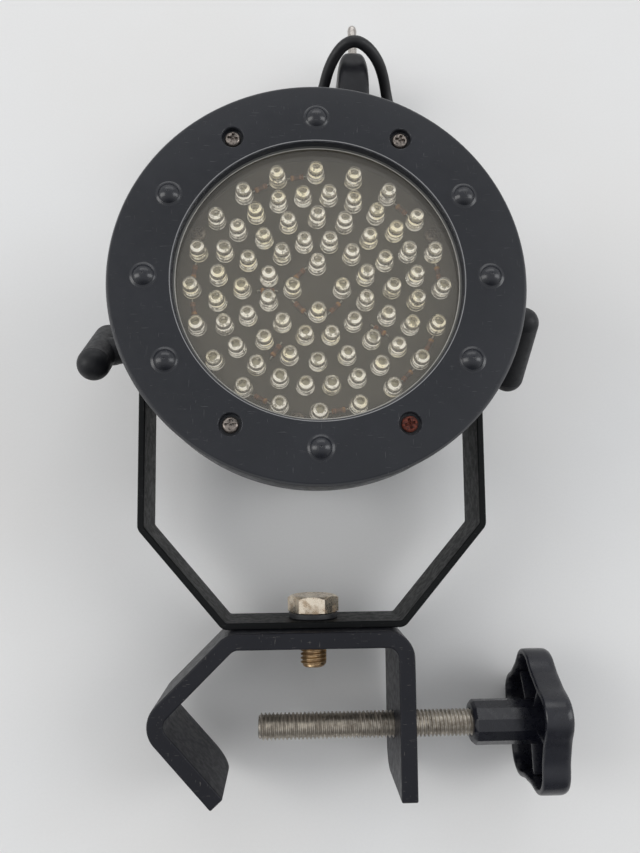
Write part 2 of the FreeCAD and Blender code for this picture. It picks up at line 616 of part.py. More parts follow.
def build_pivots():
    """Both tilt pivots: boss, friction ring, and a T-bar screw with its washer."""
    level = SIZES["pivot_level"]
    for name, side, lean in (("right", 1, -SIZES["bar_right_lean"]),
                             ("left", -1, SIZES["bar_left_lean"])):
        boss = cylinder("boss_radius", "boss_out - boss_in",
                        along_x(side * SIZES["boss_in"], 0, level, side))
        bore = cylinder("stud_bore", "boss_out - boss_in",
                        along_x(side * SIZES["boss_in"], 0, level, side))
        node(cut(boss, bore), f"pivot_boss_{name}")
        out = SIZES["boss_out"]
        place = along_x(side * out, 0, level, side)
        node(cut(cylinder("friction_radius", "friction_thick", place),
                 cylinder("stud_bore", "friction_thick", place)), f"friction_ring_{name}")

        yoke_out = value("yoke_arm + 0.5*yoke_thick")
        place = along_x(side * (yoke_out + SIZES["washer_gap"]), 0, level, side)
        node(cut(cylinder("lock_washer", "lock_washer_thick", place),
                 cylinder("stud_bore", "lock_washer_thick", place)), f"lock_washer_{name}")
        stud_start = along_x(side * SIZES["stud_in"], 0, level, side)
        node(cylinder("stud_radius", "bar_centre - stud_in", stud_start), f"lock_stud_{name}")

        neck_start = yoke_out + value("washer_gap + lock_washer_thick")
        neck = cylinder("neck_radius",
                        "bar_centre - yoke_arm - 0.5*yoke_thick - washer_gap - lock_washer_thick",
                        along_x(side * neck_start, 0, level, side))
        turn = Placement(Vector(side * SIZES["bar_centre"], 0, level), Rotation(X_AXIS, lean))
        half = SIZES["bar_half"]
        grip = [cylinder("bar_radius", "2*bar_half", turn.multiply(up(0, 0, -half)))]
        for end in (-half, half):
            ball = DOC.addObject("Part::Sphere", "bar_end")
            bind(ball, "Radius", "bar_radius")
            ball.Placement = turn.multiply(up(0, 0, end))
            grip.append(ball)
        stud_room = cylinder("stud_radius", "bar_centre - stud_in", stud_start)
        node(cut(fuse(neck, *grip), stud_room), f"lock_bar_{name}")


def build_yoke():
    """The bent strip that carries the head, open towards the head."""
    body = strip("yoke", [
        ("- yoke_arm", "yoke_end"), ("- yoke_arm", "- yoke_corner"),
        ("- yoke_foot", "- yoke_floor"), ("yoke_foot", "- yoke_floor"),
        ("yoke_arm", "- yoke_corner"), ("yoke_arm", "yoke_end")],
        "yoke_width", "yoke_thick", "yoke_bend", "XZ_Plane", "- yoke_end")
    drill(body, "arm_holes", "YZ_Plane", ("", ""), "stud_bore")
    drill(body, "bolt_hole", "XZ_Plane", ("", ""), "bolt_bore")
    end, half_wide = SIZES["yoke_end"], SIZES["yoke_width"] / 2
    rounded(body, "arm_ends", "0.48*yoke_width",
            lambda edge: abs(edge.BoundBox.YMin - end) < 0.01 and abs(edge.BoundBox.YMax - end)
            < 0.01 and abs(abs(edge.CenterOfMass.z) - half_wide) < 0.01)
    body.Placement = sloped()
    node(body, "yoke")


def build_clamp():
    """The hook-shaped clamp strip and the bolt that holds the yoke to it."""
    body = strip("clamp_frame", [
        ("clamp_arm", "- clamp_arm_end"), ("clamp_arm", "- clamp_top"),
        ("- clamp_shoulder", "- clamp_top"), ("- clamp_elbow_x", "- clamp_elbow_y"),
        ("- clamp_tip_x", "- clamp_tip_y")],
        "clamp_width", "clamp_thick", "clamp_bend", "XZ_Plane", "clamp_arm_end")
    half_wide = SIZES["clamp_width"] / 2
    lowest = -SIZES["clamp_arm_end"]
    tip = Vector(-SIZES["clamp_tip_x"], -SIZES["clamp_tip_y"], 0)
    rounded(body, "far_corners", "clamp_round",
            lambda edge: abs(edge.CenterOfMass.z + half_wide) < 0.01 and edge.Length < 7
            and (abs(edge.CenterOfMass.y - lowest) < 0.1
                 or (Vector(edge.CenterOfMass.x, edge.CenterOfMass.y, 0) - tip).Length < 0.5))
    body.Placement = sloped()
    axis_y, end = -SIZES["screw_axis"], SIZES["bolt_end"]
    arm = value("clamp_arm - clamp_thick")
    screw_hole = cylinder("bolt_bore", "2*clamp_thick", sloped(along_x(arm, axis_y)))
    low = -value("clamp_top + clamp_thick")
    bolt_hole = cylinder("bolt_radius", "2*clamp_thick", sloped(along_y(0, low, 0)))
    node(cut(body, screw_hole, bolt_hole), "clamp_frame")

    floor = -value("yoke_floor - 0.5*yoke_thick")
    washer_place = sloped(along_y(0, floor + SIZES["washer_gap"], 0))
    node(cut(cylinder("washer_radius", "washer_thick", washer_place),
             cylinder("bolt_bore", "washer_thick", washer_place)), "yoke_washer")
    head_start = floor + value("washer_gap + washer_thick")
    turn = Placement(Vector(), Rotation(Z_AXIS, SIZES["bolt_turn"]))
    head = hexagon("bolt_hex", "bolt_hex_tall", sloped(along_y(0, head_start, 0).multiply(turn)))
    shank = cylinder("bolt_radius",
                     "bolt_end - yoke_floor + 0.5*yoke_thick + washer_gap + washer_thick",
                     sloped(along_y(0, -end, 0)))
    node(fuse(head, shank), "yoke_bolt")


def build_clamp_screw():
    """The long clamping screw, its moulded star knob and the hexagon moulded into it."""
    axis = -SIZES["screw_axis"]
    tip = sloped(along_x(-SIZES["screw_tip"], axis))
    chamfer = SIZES["screw_chamfer"]
    nose = cone("bolt_radius - screw_chamfer", "bolt_radius", "screw_chamfer", tip)
    rod = cylinder("bolt_radius", "screw_tail + screw_tip - screw_chamfer",
                   sloped(along_x(chamfer - SIZES["screw_tip"], axis)))
    node(fuse(nose, rod), "clamp_screw")

    insert_place = sloped(along_x(SIZES["insert_start"], axis))
    insert = hexagon("insert_flats", "insert_end - insert_start", insert_place)
    room = cylinder("bolt_bore", "screw_tail", sloped(along_x(0, axis)))
    node(cut(insert, room), "knob_insert")

    front, back = SIZES["knob_front"], SIZES["knob_back"]
    parts = [cylinder("stem_radius", "stem_end - stem_start",
                      sloped(along_x(SIZES["stem_start"], axis))),
             cylinder("knob_core", "knob_back - knob_front", sloped(along_x(front, axis)))]
    for lobe in range(5):
        turn = math.radians(SIZES["lobe_turn"] + 72 * lobe)
        y = axis + SIZES["lobe_circle"] * math.cos(turn)
        z = SIZES["lobe_circle"] * math.sin(turn)
        parts.append(cylinder("lobe_radius", "knob_back - knob_front",
                              sloped(along_x(front, y, z))))
    room = cylinder("bolt_bore", "screw_tail", sloped(along_x(SIZES["fit_gap"], axis)))
    insert_room = hexagon("insert_flats", "insert_end - insert_start", insert_place)
    node(cut(fuse(*parts), room, insert_room), "star_knob")


def build_cord():
    """The cord from the gland: a feed, its coil, the tail over the plug, and the plug."""
    node(tube("cord_feed", FEED_ROUTE, "cord_radius"), "cord_feed")
    centre = up(-SIZES["coil_x"], SIZES["coil_y"], 0)
    node(cut(cylinder("coil_out", "coil_tall", centre), cylinder("coil_in", "coil_tall", centre)),
         "cord_coil")
    node(tube("cord_tail", TAIL_ROUTE, "cord_radius"), "cord_tail")

    x, level = SIZES["plug_x"], SIZES["plug_level"]
    relief = cone("relief_tip", "relief_radius", "plug_rear - relief_end",
                  along_y(x, SIZES["relief_end"], level))
    node(relief, "plug_relief")
    body = DOC.addObject("PartDesign::Body", "plug_shell")
    shape = outline(body, "YZ_Plane", [
        ("plug_rear", "plug_level - 0.5*plug_neck"),
        ("plug_nose - 0.5*plug_tall", "plug_level - 0.5*plug_tall"),
        ("plug_nose - plug_tip_long", "plug_level - 0.5*plug_tall"),
        ("plug_nose", "plug_level - 0.5*plug_tip"), ("plug_nose", "plug_level + 0.5*plug_tip"),
        ("plug_nose - plug_tip_long", "plug_level + 0.5*plug_tall"),
        ("plug_nose - 0.5*plug_tall", "plug_level + 0.5*plug_tall"),
        ("plug_rear", "plug_level + 0.5*plug_neck")])
    pad = body.newObject("PartDesign::Pad", "thickness")
    pad.Profile = shape
    bind(pad, "Length", "plug_thick")
    pad.Midplane = True
    body.Placement = up(x, 0, 0)
    DOC.recompute()
    node(body, "plug_body")
    pins = [fuse(cylinder("pin_radius", "pin_long - pin_radius",
                          along_y(x, SIZES["plug_nose"], level + side * SIZES["pin_gap"] / 2)),
                 cone("pin_radius", "0.5*pin_radius", "pin_radius",
                      along_y(x, value("plug_nose + pin_long - pin_radius"),
                              level + side * SIZES["pin_gap"] / 2))) for side in (-1, 1)]
    group("plug_pins", pins)


def write_out():
    """Check every object and every sub-part, then write one file for each sub-part."""
    DOC.recompute()
    for item in DOC.Objects:
        if "Invalid" in item.State or "Error" in item.State:
            raise RuntimeError(f"{item.Name} failed: {item.State}")
    labels = [item.Label for item in NODES]
    if len(set(labels)) != len(labels):
        raise RuntimeError("two sub-parts share a name")
    for item in NODES:
        if item.Shape.isNull() or not item.Shape.isValid() or not item.Shape.Solids:
            raise RuntimeError(f"{item.Label} has no valid solid")
    os.makedirs("parts", exist_ok=True)
    for item in NODES:
        item.Shape.exportStep(os.path.join("parts", item.Label + ".step"))
    print(len(NODES), "sub-parts written")


fill_sheet()
build_bezel()
build_collar()
build_lamp_board()
build_can()
build_rear_cover()
build_supply()
build_gland()
build_pivots()
build_yoke()
build_clamp()
build_clamp_screw()
build_cord()
write_out()
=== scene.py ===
import json
import random
from math import asin, atan2, cos, exp, pi, radians, sin, sqrt

import bmesh
import bpy
from mathutils import Euler, Matrix, Vector


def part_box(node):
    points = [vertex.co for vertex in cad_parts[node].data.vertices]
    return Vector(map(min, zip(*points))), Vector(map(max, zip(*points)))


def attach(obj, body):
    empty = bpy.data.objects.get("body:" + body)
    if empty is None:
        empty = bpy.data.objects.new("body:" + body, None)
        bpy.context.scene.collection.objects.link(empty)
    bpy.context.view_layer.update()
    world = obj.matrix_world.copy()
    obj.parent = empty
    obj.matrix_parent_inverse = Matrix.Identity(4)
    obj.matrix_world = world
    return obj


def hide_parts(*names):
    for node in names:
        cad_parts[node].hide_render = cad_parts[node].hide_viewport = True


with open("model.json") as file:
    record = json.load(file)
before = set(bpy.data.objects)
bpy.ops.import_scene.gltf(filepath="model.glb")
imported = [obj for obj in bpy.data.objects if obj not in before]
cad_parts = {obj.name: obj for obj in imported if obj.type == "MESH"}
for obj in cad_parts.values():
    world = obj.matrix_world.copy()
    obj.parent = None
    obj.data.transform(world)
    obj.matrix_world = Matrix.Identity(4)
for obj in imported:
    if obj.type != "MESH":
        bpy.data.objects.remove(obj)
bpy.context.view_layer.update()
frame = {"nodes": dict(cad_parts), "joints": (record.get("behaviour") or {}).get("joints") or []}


shift = Matrix.Translation


def turned(degrees, axis="Z"):
    """A turn about one of the axes."""
    return Matrix.Rotation(radians(degrees), 4, axis)


# All lengths below are in millimetres in the row frame, and are turned to metres by MM.
MM = 0.001
JOINTS = {joint["name"]: joint for joint in frame["joints"]}
PIVOT = Vector(JOINTS["head_tilt"]["pos_m"]) / MM
SWIVEL = Vector(JOINTS["yoke_swivel"]["axis"])
# The yoke and the clamp lie in a frame that slopes about the tilt axis.
SLOPED = shift(PIVOT) @ Matrix.Rotation(atan2(SWIVEL.z, SWIVEL.y), 4, "X")
TO_X = turned(90, "Y")         # a lathe's own axis turned to +X
TO_Y = turned(-90, "X")        # and to +Y
CORNERS = ((-1, -1), (1, -1), (1, 1), (-1, 1))
THREAD_REACH, THREAD_PITCH, THREAD_DEPTH = 4.97, 1.5, 0.82
SEED = random.Random(7)


def low(node):
    """Lowest corner of a CAD node, in millimetres."""
    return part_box(node)[0] / MM


def high(node):
    """Highest corner of a CAD node, in millimetres."""
    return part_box(node)[1] / MM


# ---- solids made of rings

def around(count):
    """The angles of evenly spaced points on a circle."""
    return [2 * pi * spot / count for spot in range(count)]


def skin(rings, rows):
    """The points of rings that hold the same number each, and the faces of so many rows."""
    count = len(rings[0])
    points = [point for one in rings for point in one]
    faces = []
    for row in range(rows):
        below, above = row * count, (row + 1) % len(rings) * count
        for spot in range(count):
            beside = (spot + 1) % count
            faces.append((below + spot, below + beside, above + beside, above + spot))
    return points, faces


def loft(rings):
    """A solid through rings, closed by a flat face at each end."""
    points, faces = skin(rings, len(rings) - 1)
    count = len(rings[0])
    faces.append(tuple(reversed(range(count))))
    faces.append(tuple(range(len(points) - count, len(points))))
    return points, faces


def ring(radius, level, count):
    """A ring about the Z axis; radius is a number or a function of the angle."""
    points = []
    for angle in around(count):
        reach = radius(angle) if callable(radius) else radius
        points.append(Vector((reach * cos(angle), reach * sin(angle), level)))
    return points


def lathe(profile, count=48):
    """A body turned about the Z axis, from (radius, level) pairs that run from low to high."""
    return loft([ring(max(radius, 0.001), level, count) for radius, level in profile])


def ring_lathe(profile, count=192):
    """A turned body with a hole through it: the profile closes on itself."""
    return skin([ring(radius, level, count) for radius, level in profile], len(profile))


def moved(solid, place):
    """The solid, carried to a place."""
    points, faces = solid
    return [place @ point for point in points], faces


def joined(*solids):
    """Several solids as one, still separate inside it."""
    points, faces = [], []
    for some_points, some_faces in solids:
        start = len(points)
        points.extend(some_points)
        faces.extend(tuple(start + index for index in face) for face in some_faces)
    return points, faces


def block(size, centre, taper=1.0):
    """A box with its far end scaled by taper."""
    half = Vector(size) / 2
    rings = []
    for level, scale in ((-half.z, 1.0), (half.z, taper)):
        rings.append([Vector((x * half.x * scale, y * half.y * scale, level)) + Vector(centre)
                      for x, y in CORNERS])
    return loft(rings)


def soft_box(half_x, half_z, level, count=64, power=5.0, centre=0.0):
    """A rounded-rectangle ring about the Y axis, with its middle at a height."""
    points = []
    for angle in around(count):
        c, s = cos(angle), sin(angle)
        reach = (abs(c) ** power + abs(s) ** power) ** (-1 / power)
        points.append(Vector((half_x * reach * c, level, half_z * reach * s + centre)))
    return points


def threaded_rod(length, lead, sides=40):
    """A right-hand screw thread along Z that rises over a pointed lead-in at its start."""
    profile = ((0.0, 0.0), (0.12, 0.0), (0.44, 1.0), (0.60, 1.0), (0.92, 0.0))
    blunt = 0.35        # how far the lead-in's tip lies inside the thread's root
    rows = []
    for turn in range(-1, int(length / THREAD_PITCH) + 2):
        for share, rise in profile:
            row = []
            for spot, angle in enumerate(around(sides)):
                level = (turn + share + spot / sides) * THREAD_PITCH
                level = min(max(level, 0.0), length)
                reach = THREAD_REACH - THREAD_DEPTH * (1 - rise)
                if level < lead:
                    reach = min(reach, THREAD_REACH - THREAD_DEPTH - blunt
                                + (blunt + THREAD_DEPTH) * level / lead)
                row.append(Vector((reach * cos(angle), reach * sin(angle), level)))
            rows.append(row)
    return loft(rows)


# ---- pieces

def placed(name, data):
    """A new object of the scene that shows the data."""
    made = bpy.data.objects.new(name, data)
    bpy.context.scene.collection.objects.link(made)
    return made


def modify(shown, name, kind, **settings):
    step = shown.modifiers.new(name, kind)
    for key, value in settings.items():
        setattr(step, key, value)


def weld(mesh, reach, vanishing=0.0):
    """Join points within reach of each other, and drop faces that are smaller than vanishing."""
    work = bmesh.new()
    work.from_mesh(mesh)
    bmesh.ops.remove_doubles(work, verts=work.verts, dist=reach)
    if vanishing:
        bmesh.ops.dissolve_degenerate(work, edges=work.edges, dist=vanishing)
    bmesh.ops.recalc_face_normals(work, faces=work.faces)
    work.to_mesh(mesh)
    work.free()


def piece(name, solid, material, body, replaces=(), sharp=32.0):
    """One new object in metres that rides on a body and may stand for CAD nodes."""
    points, faces = solid
    mesh = bpy.data.meshes.new(name)
    mesh.from_pydata([point * MM for point in points], [], faces)
    weld(mesh, 2e-6, 1e-7)
    mesh.validate()
    mesh.shade_smooth()
    mesh.set_sharp_from_angle(angle=radians(sharp))
    mesh.materials.append(material)
    made = placed(name, mesh)
    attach(made, body)
    if replaces:
        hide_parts(*replaces)
    return made


def carved(solid, *cutters):
    """The solid with the cutters taken out of it; all of it in millimetres."""
    def thing(name, shape):
        mesh = bpy.data.meshes.new(name)
        mesh.from_pydata(shape[0], [], shape[1])
        weld(mesh, 2e-3)
        return placed(name, mesh)

    base = thing("carved", solid)
    tool = thing("cutter", joined(*cutters))
    modify(base, "cut", "BOOLEAN", object=tool, operation="DIFFERENCE", solver="EXACT",
           use_self=True)
    bpy.context.view_layer.update()
    result = bpy.data.meshes.new_from_object(base.evaluated_get(bpy.context.evaluated_depsgraph_get()))
    points = [vertex.co.copy() for vertex in result.vertices]
    faces = [tuple(face.vertices) for face in result.polygons]
    for made in (base, tool):
        bpy.data.objects.remove(made)
    return points, faces


def keep(node, material, round_edge=0.0, segments=3):
    """A CAD node that stays: its material, and softly rounded edges."""
    shown = frame["nodes"][node]
    shown.data.materials.clear()
    shown.data.materials.append(material)
    if round_edge:
        modify(shown, "join", "WELD", merge_threshold=1e-6)
        modify(shown, "plane", "DECIMATE", decimate_type="DISSOLVE", angle_limit=radians(0.6))
        modify(shown, "edge", "BEVEL", width=round_edge * MM, segments=segments,
               limit_method="ANGLE", angle_limit=radians(38), miter_outer="MITER_ARC")
        modify(shown, "normals", "WEIGHTED_NORMAL", keep_sharp=False)
        shown.data.shade_smooth()


# ---- materials

class Paint:
    """One material's nodes, with a short call for each kind that is used below."""

    def __init__(self, name):
        self.material = bpy.data.materials.new(name)
        self.material.use_nodes = True
        self.tree = self.material.node_tree
        self.surface = self.tree.nodes["Principled BSDF"]
        self.output = self.tree.nodes["Material Output"]
        self.spot = self.add("ShaderNodeTexCoord").outputs["Object"]

    def add(self, kind, inputs=(), **settings):
        node = self.tree.nodes.new(kind)
        for key, value in settings.items():
            setattr(node, key, value)
        for key, value in dict(inputs).items():
            self.put(node.inputs[key], value)
        return node

    def put(self, socket, value):
        if isinstance(value, bpy.types.NodeSocket):
            self.tree.links.new(value, socket)
        elif isinstance(value, (tuple, list)) and len(value) == 3 and socket.type == "RGBA":
            socket.default_value = (*value, 1.0)
        else:
            socket.default_value = value

    def set(self, **values):
        names = {"colour": "Base Color", "rough": "Roughness", "metal": "Metallic",
                 "normal": "Normal", "coat": "Coat Weight", "coat_rough": "Coat Roughness",
                 "spec": "Specular IOR Level", "through": "Transmission Weight", "ior": "IOR"}
        for key, value in values.items():
            self.put(self.surface.inputs[names[key]], value)

    def stretched(self, scale, turn=(0, 0, 0)):
        node = self.add("ShaderNodeMapping", {"Vector": self.spot, "Scale": scale,
                                              "Rotation": [radians(a) for a in turn]})
        return node.outputs["Vector"]

    def noise(self, scale, detail=3.0, rough=0.5, spot=None, bend=0.0):
        node = self.add("ShaderNodeTexNoise", {"Vector": spot or self.spot, "Scale": scale,
                                               "Detail": detail, "Roughness": rough,
                                               "Distortion": bend})
        return node.outputs["Fac"]

    def window(self, value, start, end, to=(0.0, 1.0)):
        """The value's stretch from start to end, eased into the range given by to."""
        node = self.add("ShaderNodeMapRange",
                        {"Value": value, "From Min": start, "From Max": end,
                         "To Min": to[0], "To Max": to[1]}, interpolation_type="SMOOTHSTEP")
        return node.outputs["Result"]

    def patches(self, noise, start, end, to=(0.0, 1.0)):
        return self.window(self.noise(*noise), start, end, to)

    def reckon(self, how, a, b):
        return self.add("ShaderNodeMath", {0: a, 1: b}, operation=how,
                        use_clamp=how == "ADD").outputs["Value"]

    def times(self, a, b):
        return self.reckon("MULTIPLY", a, b)

    def plus(self, a, b):
        return self.reckon("ADD", a, b)

    def mix(self, share, a, b):
        """Colour a where share is 0, and b where it is 1 (6 and 7 are the colour sockets)."""
        return self.add("ShaderNodeMix", {"Factor": share, 6: a, 7: b}, data_type="RGBA").outputs[2]

    def shader(self, kind, inputs):
        return self.add(kind, inputs).outputs[0]

    def show(self, shader):
        self.put(self.output.inputs["Surface"], shader)

    def bump(self, height, strength, depth=0.0001):
        node = self.add("ShaderNodeBump", {"Height": height, "Strength": strength,
                                           "Distance": depth})
        return node.outputs["Normal"]

    def edges(self, reach):
        """1 on edges and corners that turn within reach, 0 on flats."""
        soft = self.add("ShaderNodeBevel", {"Radius": reach * MM}, samples=4).outputs["Normal"]
        true = self.add("ShaderNodeNewGeometry").outputs["Normal"]
        dot = self.add("ShaderNodeVectorMath", {0: soft, 1: true}, operation="DOT_PRODUCT")
        return self.window(dot.outputs["Value"], 0.985, 0.86)


def painted(name, colour, dust=0.25, rough=(0.38, 0.55), wear=0.5, worn=(0.30, 0.29, 0.28),
            edge=0.5, grain=0.10, scratches=0.35, dust_colour=(0.12, 0.12, 0.115), spec=0.45):
    """Black enamel or powder coat: slow change of tone, dust, hair scratches and bare edges."""
    made = Paint(name)
    tone = made.noise(38, 4, 0.6)
    dull = tuple(part * 1.18 + 0.001 for part in colour)
    base = made.mix(made.window(tone, 0.35, 0.7), colour, dull)
    specks = made.patches((1900, 3, 0.75), 0.60, 0.74)
    cloud = made.window(made.noise(70, 5, 0.65, bend=0.4), 0.30, 0.80)
    base = made.mix(made.times(made.times(specks, cloud), dust), base, dust_colour)
    along = made.noise(260, 2, 0.5, made.stretched((1, 14, 6), (8, 20, 31)))
    across = made.noise(240, 2, 0.5, made.stretched((12, 1, 5), (0, 15, -24)))
    hairs = made.plus(made.window(along, 0.70, 0.735), made.window(across, 0.71, 0.745))
    base = made.mix(made.times(hairs, scratches), base, tuple(part * 0.5 + 0.05 for part in worn))
    if wear:
        broken = made.patches((330, 5, 0.7), 0.47, 0.60)
        bare = made.times(made.times(made.edges(edge), broken), wear)
        base = made.mix(bare, base, worn)
    made.set(colour=base, rough=made.patches((420, 4, 0.6), 0.3, 0.7, rough),
             spec=spec, normal=made.bump(made.noise(2600, 2), grain, 0.00006))
    return made.material


def moulded(name, colour, rough=(0.35, 0.5), dust=0.12, grain=0.08, coat=0.0, spec=0.5):
    """Moulded plastic or rubber with fine grain, a little dust and handling marks."""
    made = Paint(name)
    handled = made.patches((90, 4, 0.6), 0.35, 0.7)
    base = made.mix(handled, colour, tuple(part * 1.3 + 0.003 for part in colour))
    specks = made.patches((1500, 3, 0.7), 0.62, 0.76)
    base = made.mix(made.times(specks, dust), base, (0.13, 0.13, 0.125))
    made.set(colour=base, rough=made.patches((500, 3, 0.6), 0.3, 0.7, rough),
             coat=coat, coat_rough=0.12, spec=spec,
             normal=made.bump(made.noise(1800, 2), grain, 0.00005))
    return made.material


def metal(name, colour, dirt, rough=(0.25, 0.5), dirty=0.5, metallic=1.0, dirt_scale=520,
          along=(1, 1, 1)):
    """Bare or plated metal with dirt or tarnish in patches."""
    made = Paint(name)
    patch = made.times(made.patches((dirt_scale, 5, 0.65), 0.40, 0.66), dirty)
    fine = made.noise(2400, 3, 0.6, made.stretched(along))
    made.set(colour=made.mix(patch, colour, dirt),
             metal=made.window(patch, 0.1, 0.9, (metallic, metallic * 0.35)),
             rough=made.window(fine, 0.3, 0.7, rough),
             normal=made.bump(fine, 0.15, 0.00005))
    return made.material


def rusty_screw(name):
    """The one screw that has rusted to a brownish red."""
    made = Paint(name)
    crust = made.noise(1500, 5, 0.7)
    colour = made.mix(made.window(crust, 0.35, 0.65), (0.030, 0.008, 0.006), (0.16, 0.030, 0.014))
    made.set(colour=colour, rough=0.85, normal=made.bump(crust, 0.8, 0.0002))
    return made.material


def pane(name):
    """The flat window: clear, with a little mirror, a thin film and specks of dust."""
    made = Paint(name)
    clear = made.shader("ShaderNodeBsdfTransparent", {"Color": (0.955, 0.95, 0.92)})
    mirror = made.shader("ShaderNodeBsdfGlossy", {"Color": (1, 1, 1), "Roughness": 0.06})
    haze = made.shader("ShaderNodeBsdfDiffuse", {"Color": (0.68, 0.60, 0.48)})
    fresnel = made.add("ShaderNodeFresnel", {"IOR": 1.5}).outputs[0]
    film = made.window(made.noise(32, 5, 0.6, bend=0.5), 0.30, 0.75, (0.050, 0.078))
    specks = made.times(made.patches((1300, 4, 0.75), 0.66, 0.76), 0.25)
    dusty = made.shader("ShaderNodeMixShader", {0: made.plus(film, specks), 1: clear, 2: haze})
    made.show(made.shader("ShaderNodeMixShader", {0: fresnel, 1: dusty, 2: mirror}))
    return made.material


def epoxy(name, foot):
    """Water-clear lamp resin with bands of painted highlight round it, counted in millimetres from its
    foot: pale, glowing, and brighter on the side that faces -Y.
    """
    made = Paint(name)
    tint = made.mix(made.noise(160, 2), (0.99, 0.985, 0.96), (0.97, 0.96, 0.90))
    made.set(colour=tint, rough=0.04, through=1.0, ior=1.42,
             normal=made.bump(made.noise(700, 2), 0.15, 0.00010))
    level = made.add("ShaderNodeSeparateXYZ", {"Vector": made.spot}).outputs["Z"]
    normal = made.add("ShaderNodeNewGeometry").outputs["Normal"]
    facing = made.add("ShaderNodeSeparateXYZ", {"Vector": normal}).outputs["Y"]
    # painted light: the bands are brighter where the surface's normal faces -Y
    near_side_brighter = made.window(facing, 0.35, -0.35, (0.20, 1.0))
    broken = made.patches((480, 3, 0.65), 0.36, 0.52, (0.18, 1.0))
    # painted highlight: a faint share everywhere, then bands at these heights above the foot, each
    # with its strength
    share = 0.04
    for start, end, weight in ((0.3, 0.9, 0.45), (1.6, 2.2, 0.30), (3.3, 4.7, 0.95),
                               (6.35, 7.0, 0.95)):
        rising = made.window(level, (foot + start - 0.15) * MM, (foot + start + 0.05) * MM)
        falling = made.window(level, (foot + end + 0.12) * MM, (foot + end - 0.03) * MM)
        share = made.plus(made.times(made.times(rising, falling), weight), share)
    share = made.times(made.times(share, broken), near_side_brighter)
    # the pale colour of the painted highlight bands, lit diffusely and glowing as well
    band_highlight_colour = made.mix(made.patches((95, 2), 0.48, 0.60), (1.0, 0.960, 0.90),
                     (1.0, 0.92, 0.72))
    band_highlight_diffuse = made.shader("ShaderNodeBsdfDiffuse", {"Color": band_highlight_colour})
    # painted glow: the unlit lamp's bands give off light of their own
    painted_glow = made.shader("ShaderNodeEmission", {"Color": band_highlight_colour, "Strength": 0.60})
    cloud = made.shader("ShaderNodeAddShader", {0: band_highlight_diffuse, 1: painted_glow})
    made.show(made.shader("ShaderNodeMixShader",
                          {0: share, 1: made.surface.outputs[0], 2: cloud}))
    return made.material


def board_finish(name):
    """Dark brown-grey laminate with a weave, faint copper runs and flux stains."""
    made = Paint(name)
    weave = made.add("ShaderNodeTexWave", {"Vector": made.spot, "Scale": 700.0,
                                           "Distortion": 1.5, "Detail": 2.0}).outputs["Fac"]
    cells = made.add("ShaderNodeTexVoronoi", {"Vector": made.spot, "Scale": 125},
                     feature="DISTANCE_TO_EDGE").outputs["Distance"]
    runs = made.window(cells, 0.045, 0.03)
    base = made.mix(made.noise(45, 4), (0.050, 0.048, 0.041), (0.070, 0.066, 0.056))
    base = made.mix(made.times(runs, 0.35), base, (0.085, 0.083, 0.060))
    flux = made.patches((150, 5, 0.7), 0.55, 0.75)
    base = made.mix(made.times(flux, 0.4), base, (0.11, 0.095, 0.065))
    made.set(colour=base, rough=0.5, normal=made.bump(weave, 0.12, 0.00004))
    return made.material


def banded(name, body, bands):
    """A lacquered resistor body: its bands come from its own length, kept in a colour layer."""
    made = Paint(name)
    layer = made.add("ShaderNodeVertexColor", layer_name="band").outputs["Color"]
    split = made.add("ShaderNodeSeparateColor", {"Color": layer})
    colour = made.mix(split.outputs[0], body, bands[0])
    colour = made.mix(split.outputs[1], colour, bands[1])
    tone = made.patches((260, 3), 0.3, 0.7)
    made.set(colour=made.mix(made.times(tone, 0.4), colour, (0.30, 0.15, 0.08)), rough=0.32,
             normal=made.bump(made.noise(900, 2), 0.1))
    return made.material


BEZEL = painted("bezel_enamel", (0.0135, 0.0148, 0.0190), spec=0.36, dust=0.24, wear=0.55, edge=0.35,
                rough=(0.34, 0.50), worn=(0.26, 0.26, 0.27), scratches=0.22)
DOME = painted("dome_enamel", (0.0085, 0.0095, 0.0140), dust=0.10, wear=0.0, rough=(0.18, 0.30),
               scratches=0.15, spec=0.6)
# a lighter ring on the bezel's rounded outer edge: partly rubbed paint, partly painted highlight for
# the light caught on that edge
RIM_WEAR_AND_HIGHLIGHT = painted("rubbed_rim_and_painted_highlight", (0.045, 0.046, 0.050), dust=0.3, wear=0.0, rough=(0.28, 0.42),
              dust_colour=(0.16, 0.16, 0.16))
# painted highlight: a pale grey standing for the light caught on the bezel's inner lip
LIP_HIGHLIGHT = painted("lip_painted_highlight", (0.22, 0.22, 0.225), dust=0.1, wear=0.0, rough=(0.30, 0.44))
COLLAR = painted("collar_enamel", (0.015, 0.0165, 0.020), dust=0.30, wear=0.75, edge=0.30,
                 rough=(0.36, 0.52), worn=(0.34, 0.34, 0.34), scratches=0.3, grain=0.2)
CAN = painted("can_enamel", (0.020, 0.021, 0.024), dust=0.35, wear=0.35, edge=0.3,
              rough=(0.40, 0.58), grain=0.25)
YOKE = painted("yoke_coat", (0.0036, 0.0042, 0.0046), spec=0.16, dust=0.05, wear=0.6, edge=0.35,
               rough=(0.40, 0.58), worn=(0.16, 0.15, 0.14), grain=0.35, scratches=0.25)
CLAMP = painted("clamp_enamel", (0.0098, 0.0102, 0.0142), spec=0.26, dust=0.11, wear=0.8, edge=0.5,
                rough=(0.33, 0.48), worn=(0.38, 0.35, 0.31), scratches=0.5, grain=0.15)
SCREWS = metal("dull_screws", (0.32, 0.28, 0.25), (0.015, 0.013, 0.012), dirty=0.95,
               rough=(0.28, 0.5), dirt_scale=1300)
RUST = rusty_screw("rusty_screw")
GLASS = pane("window_pane")
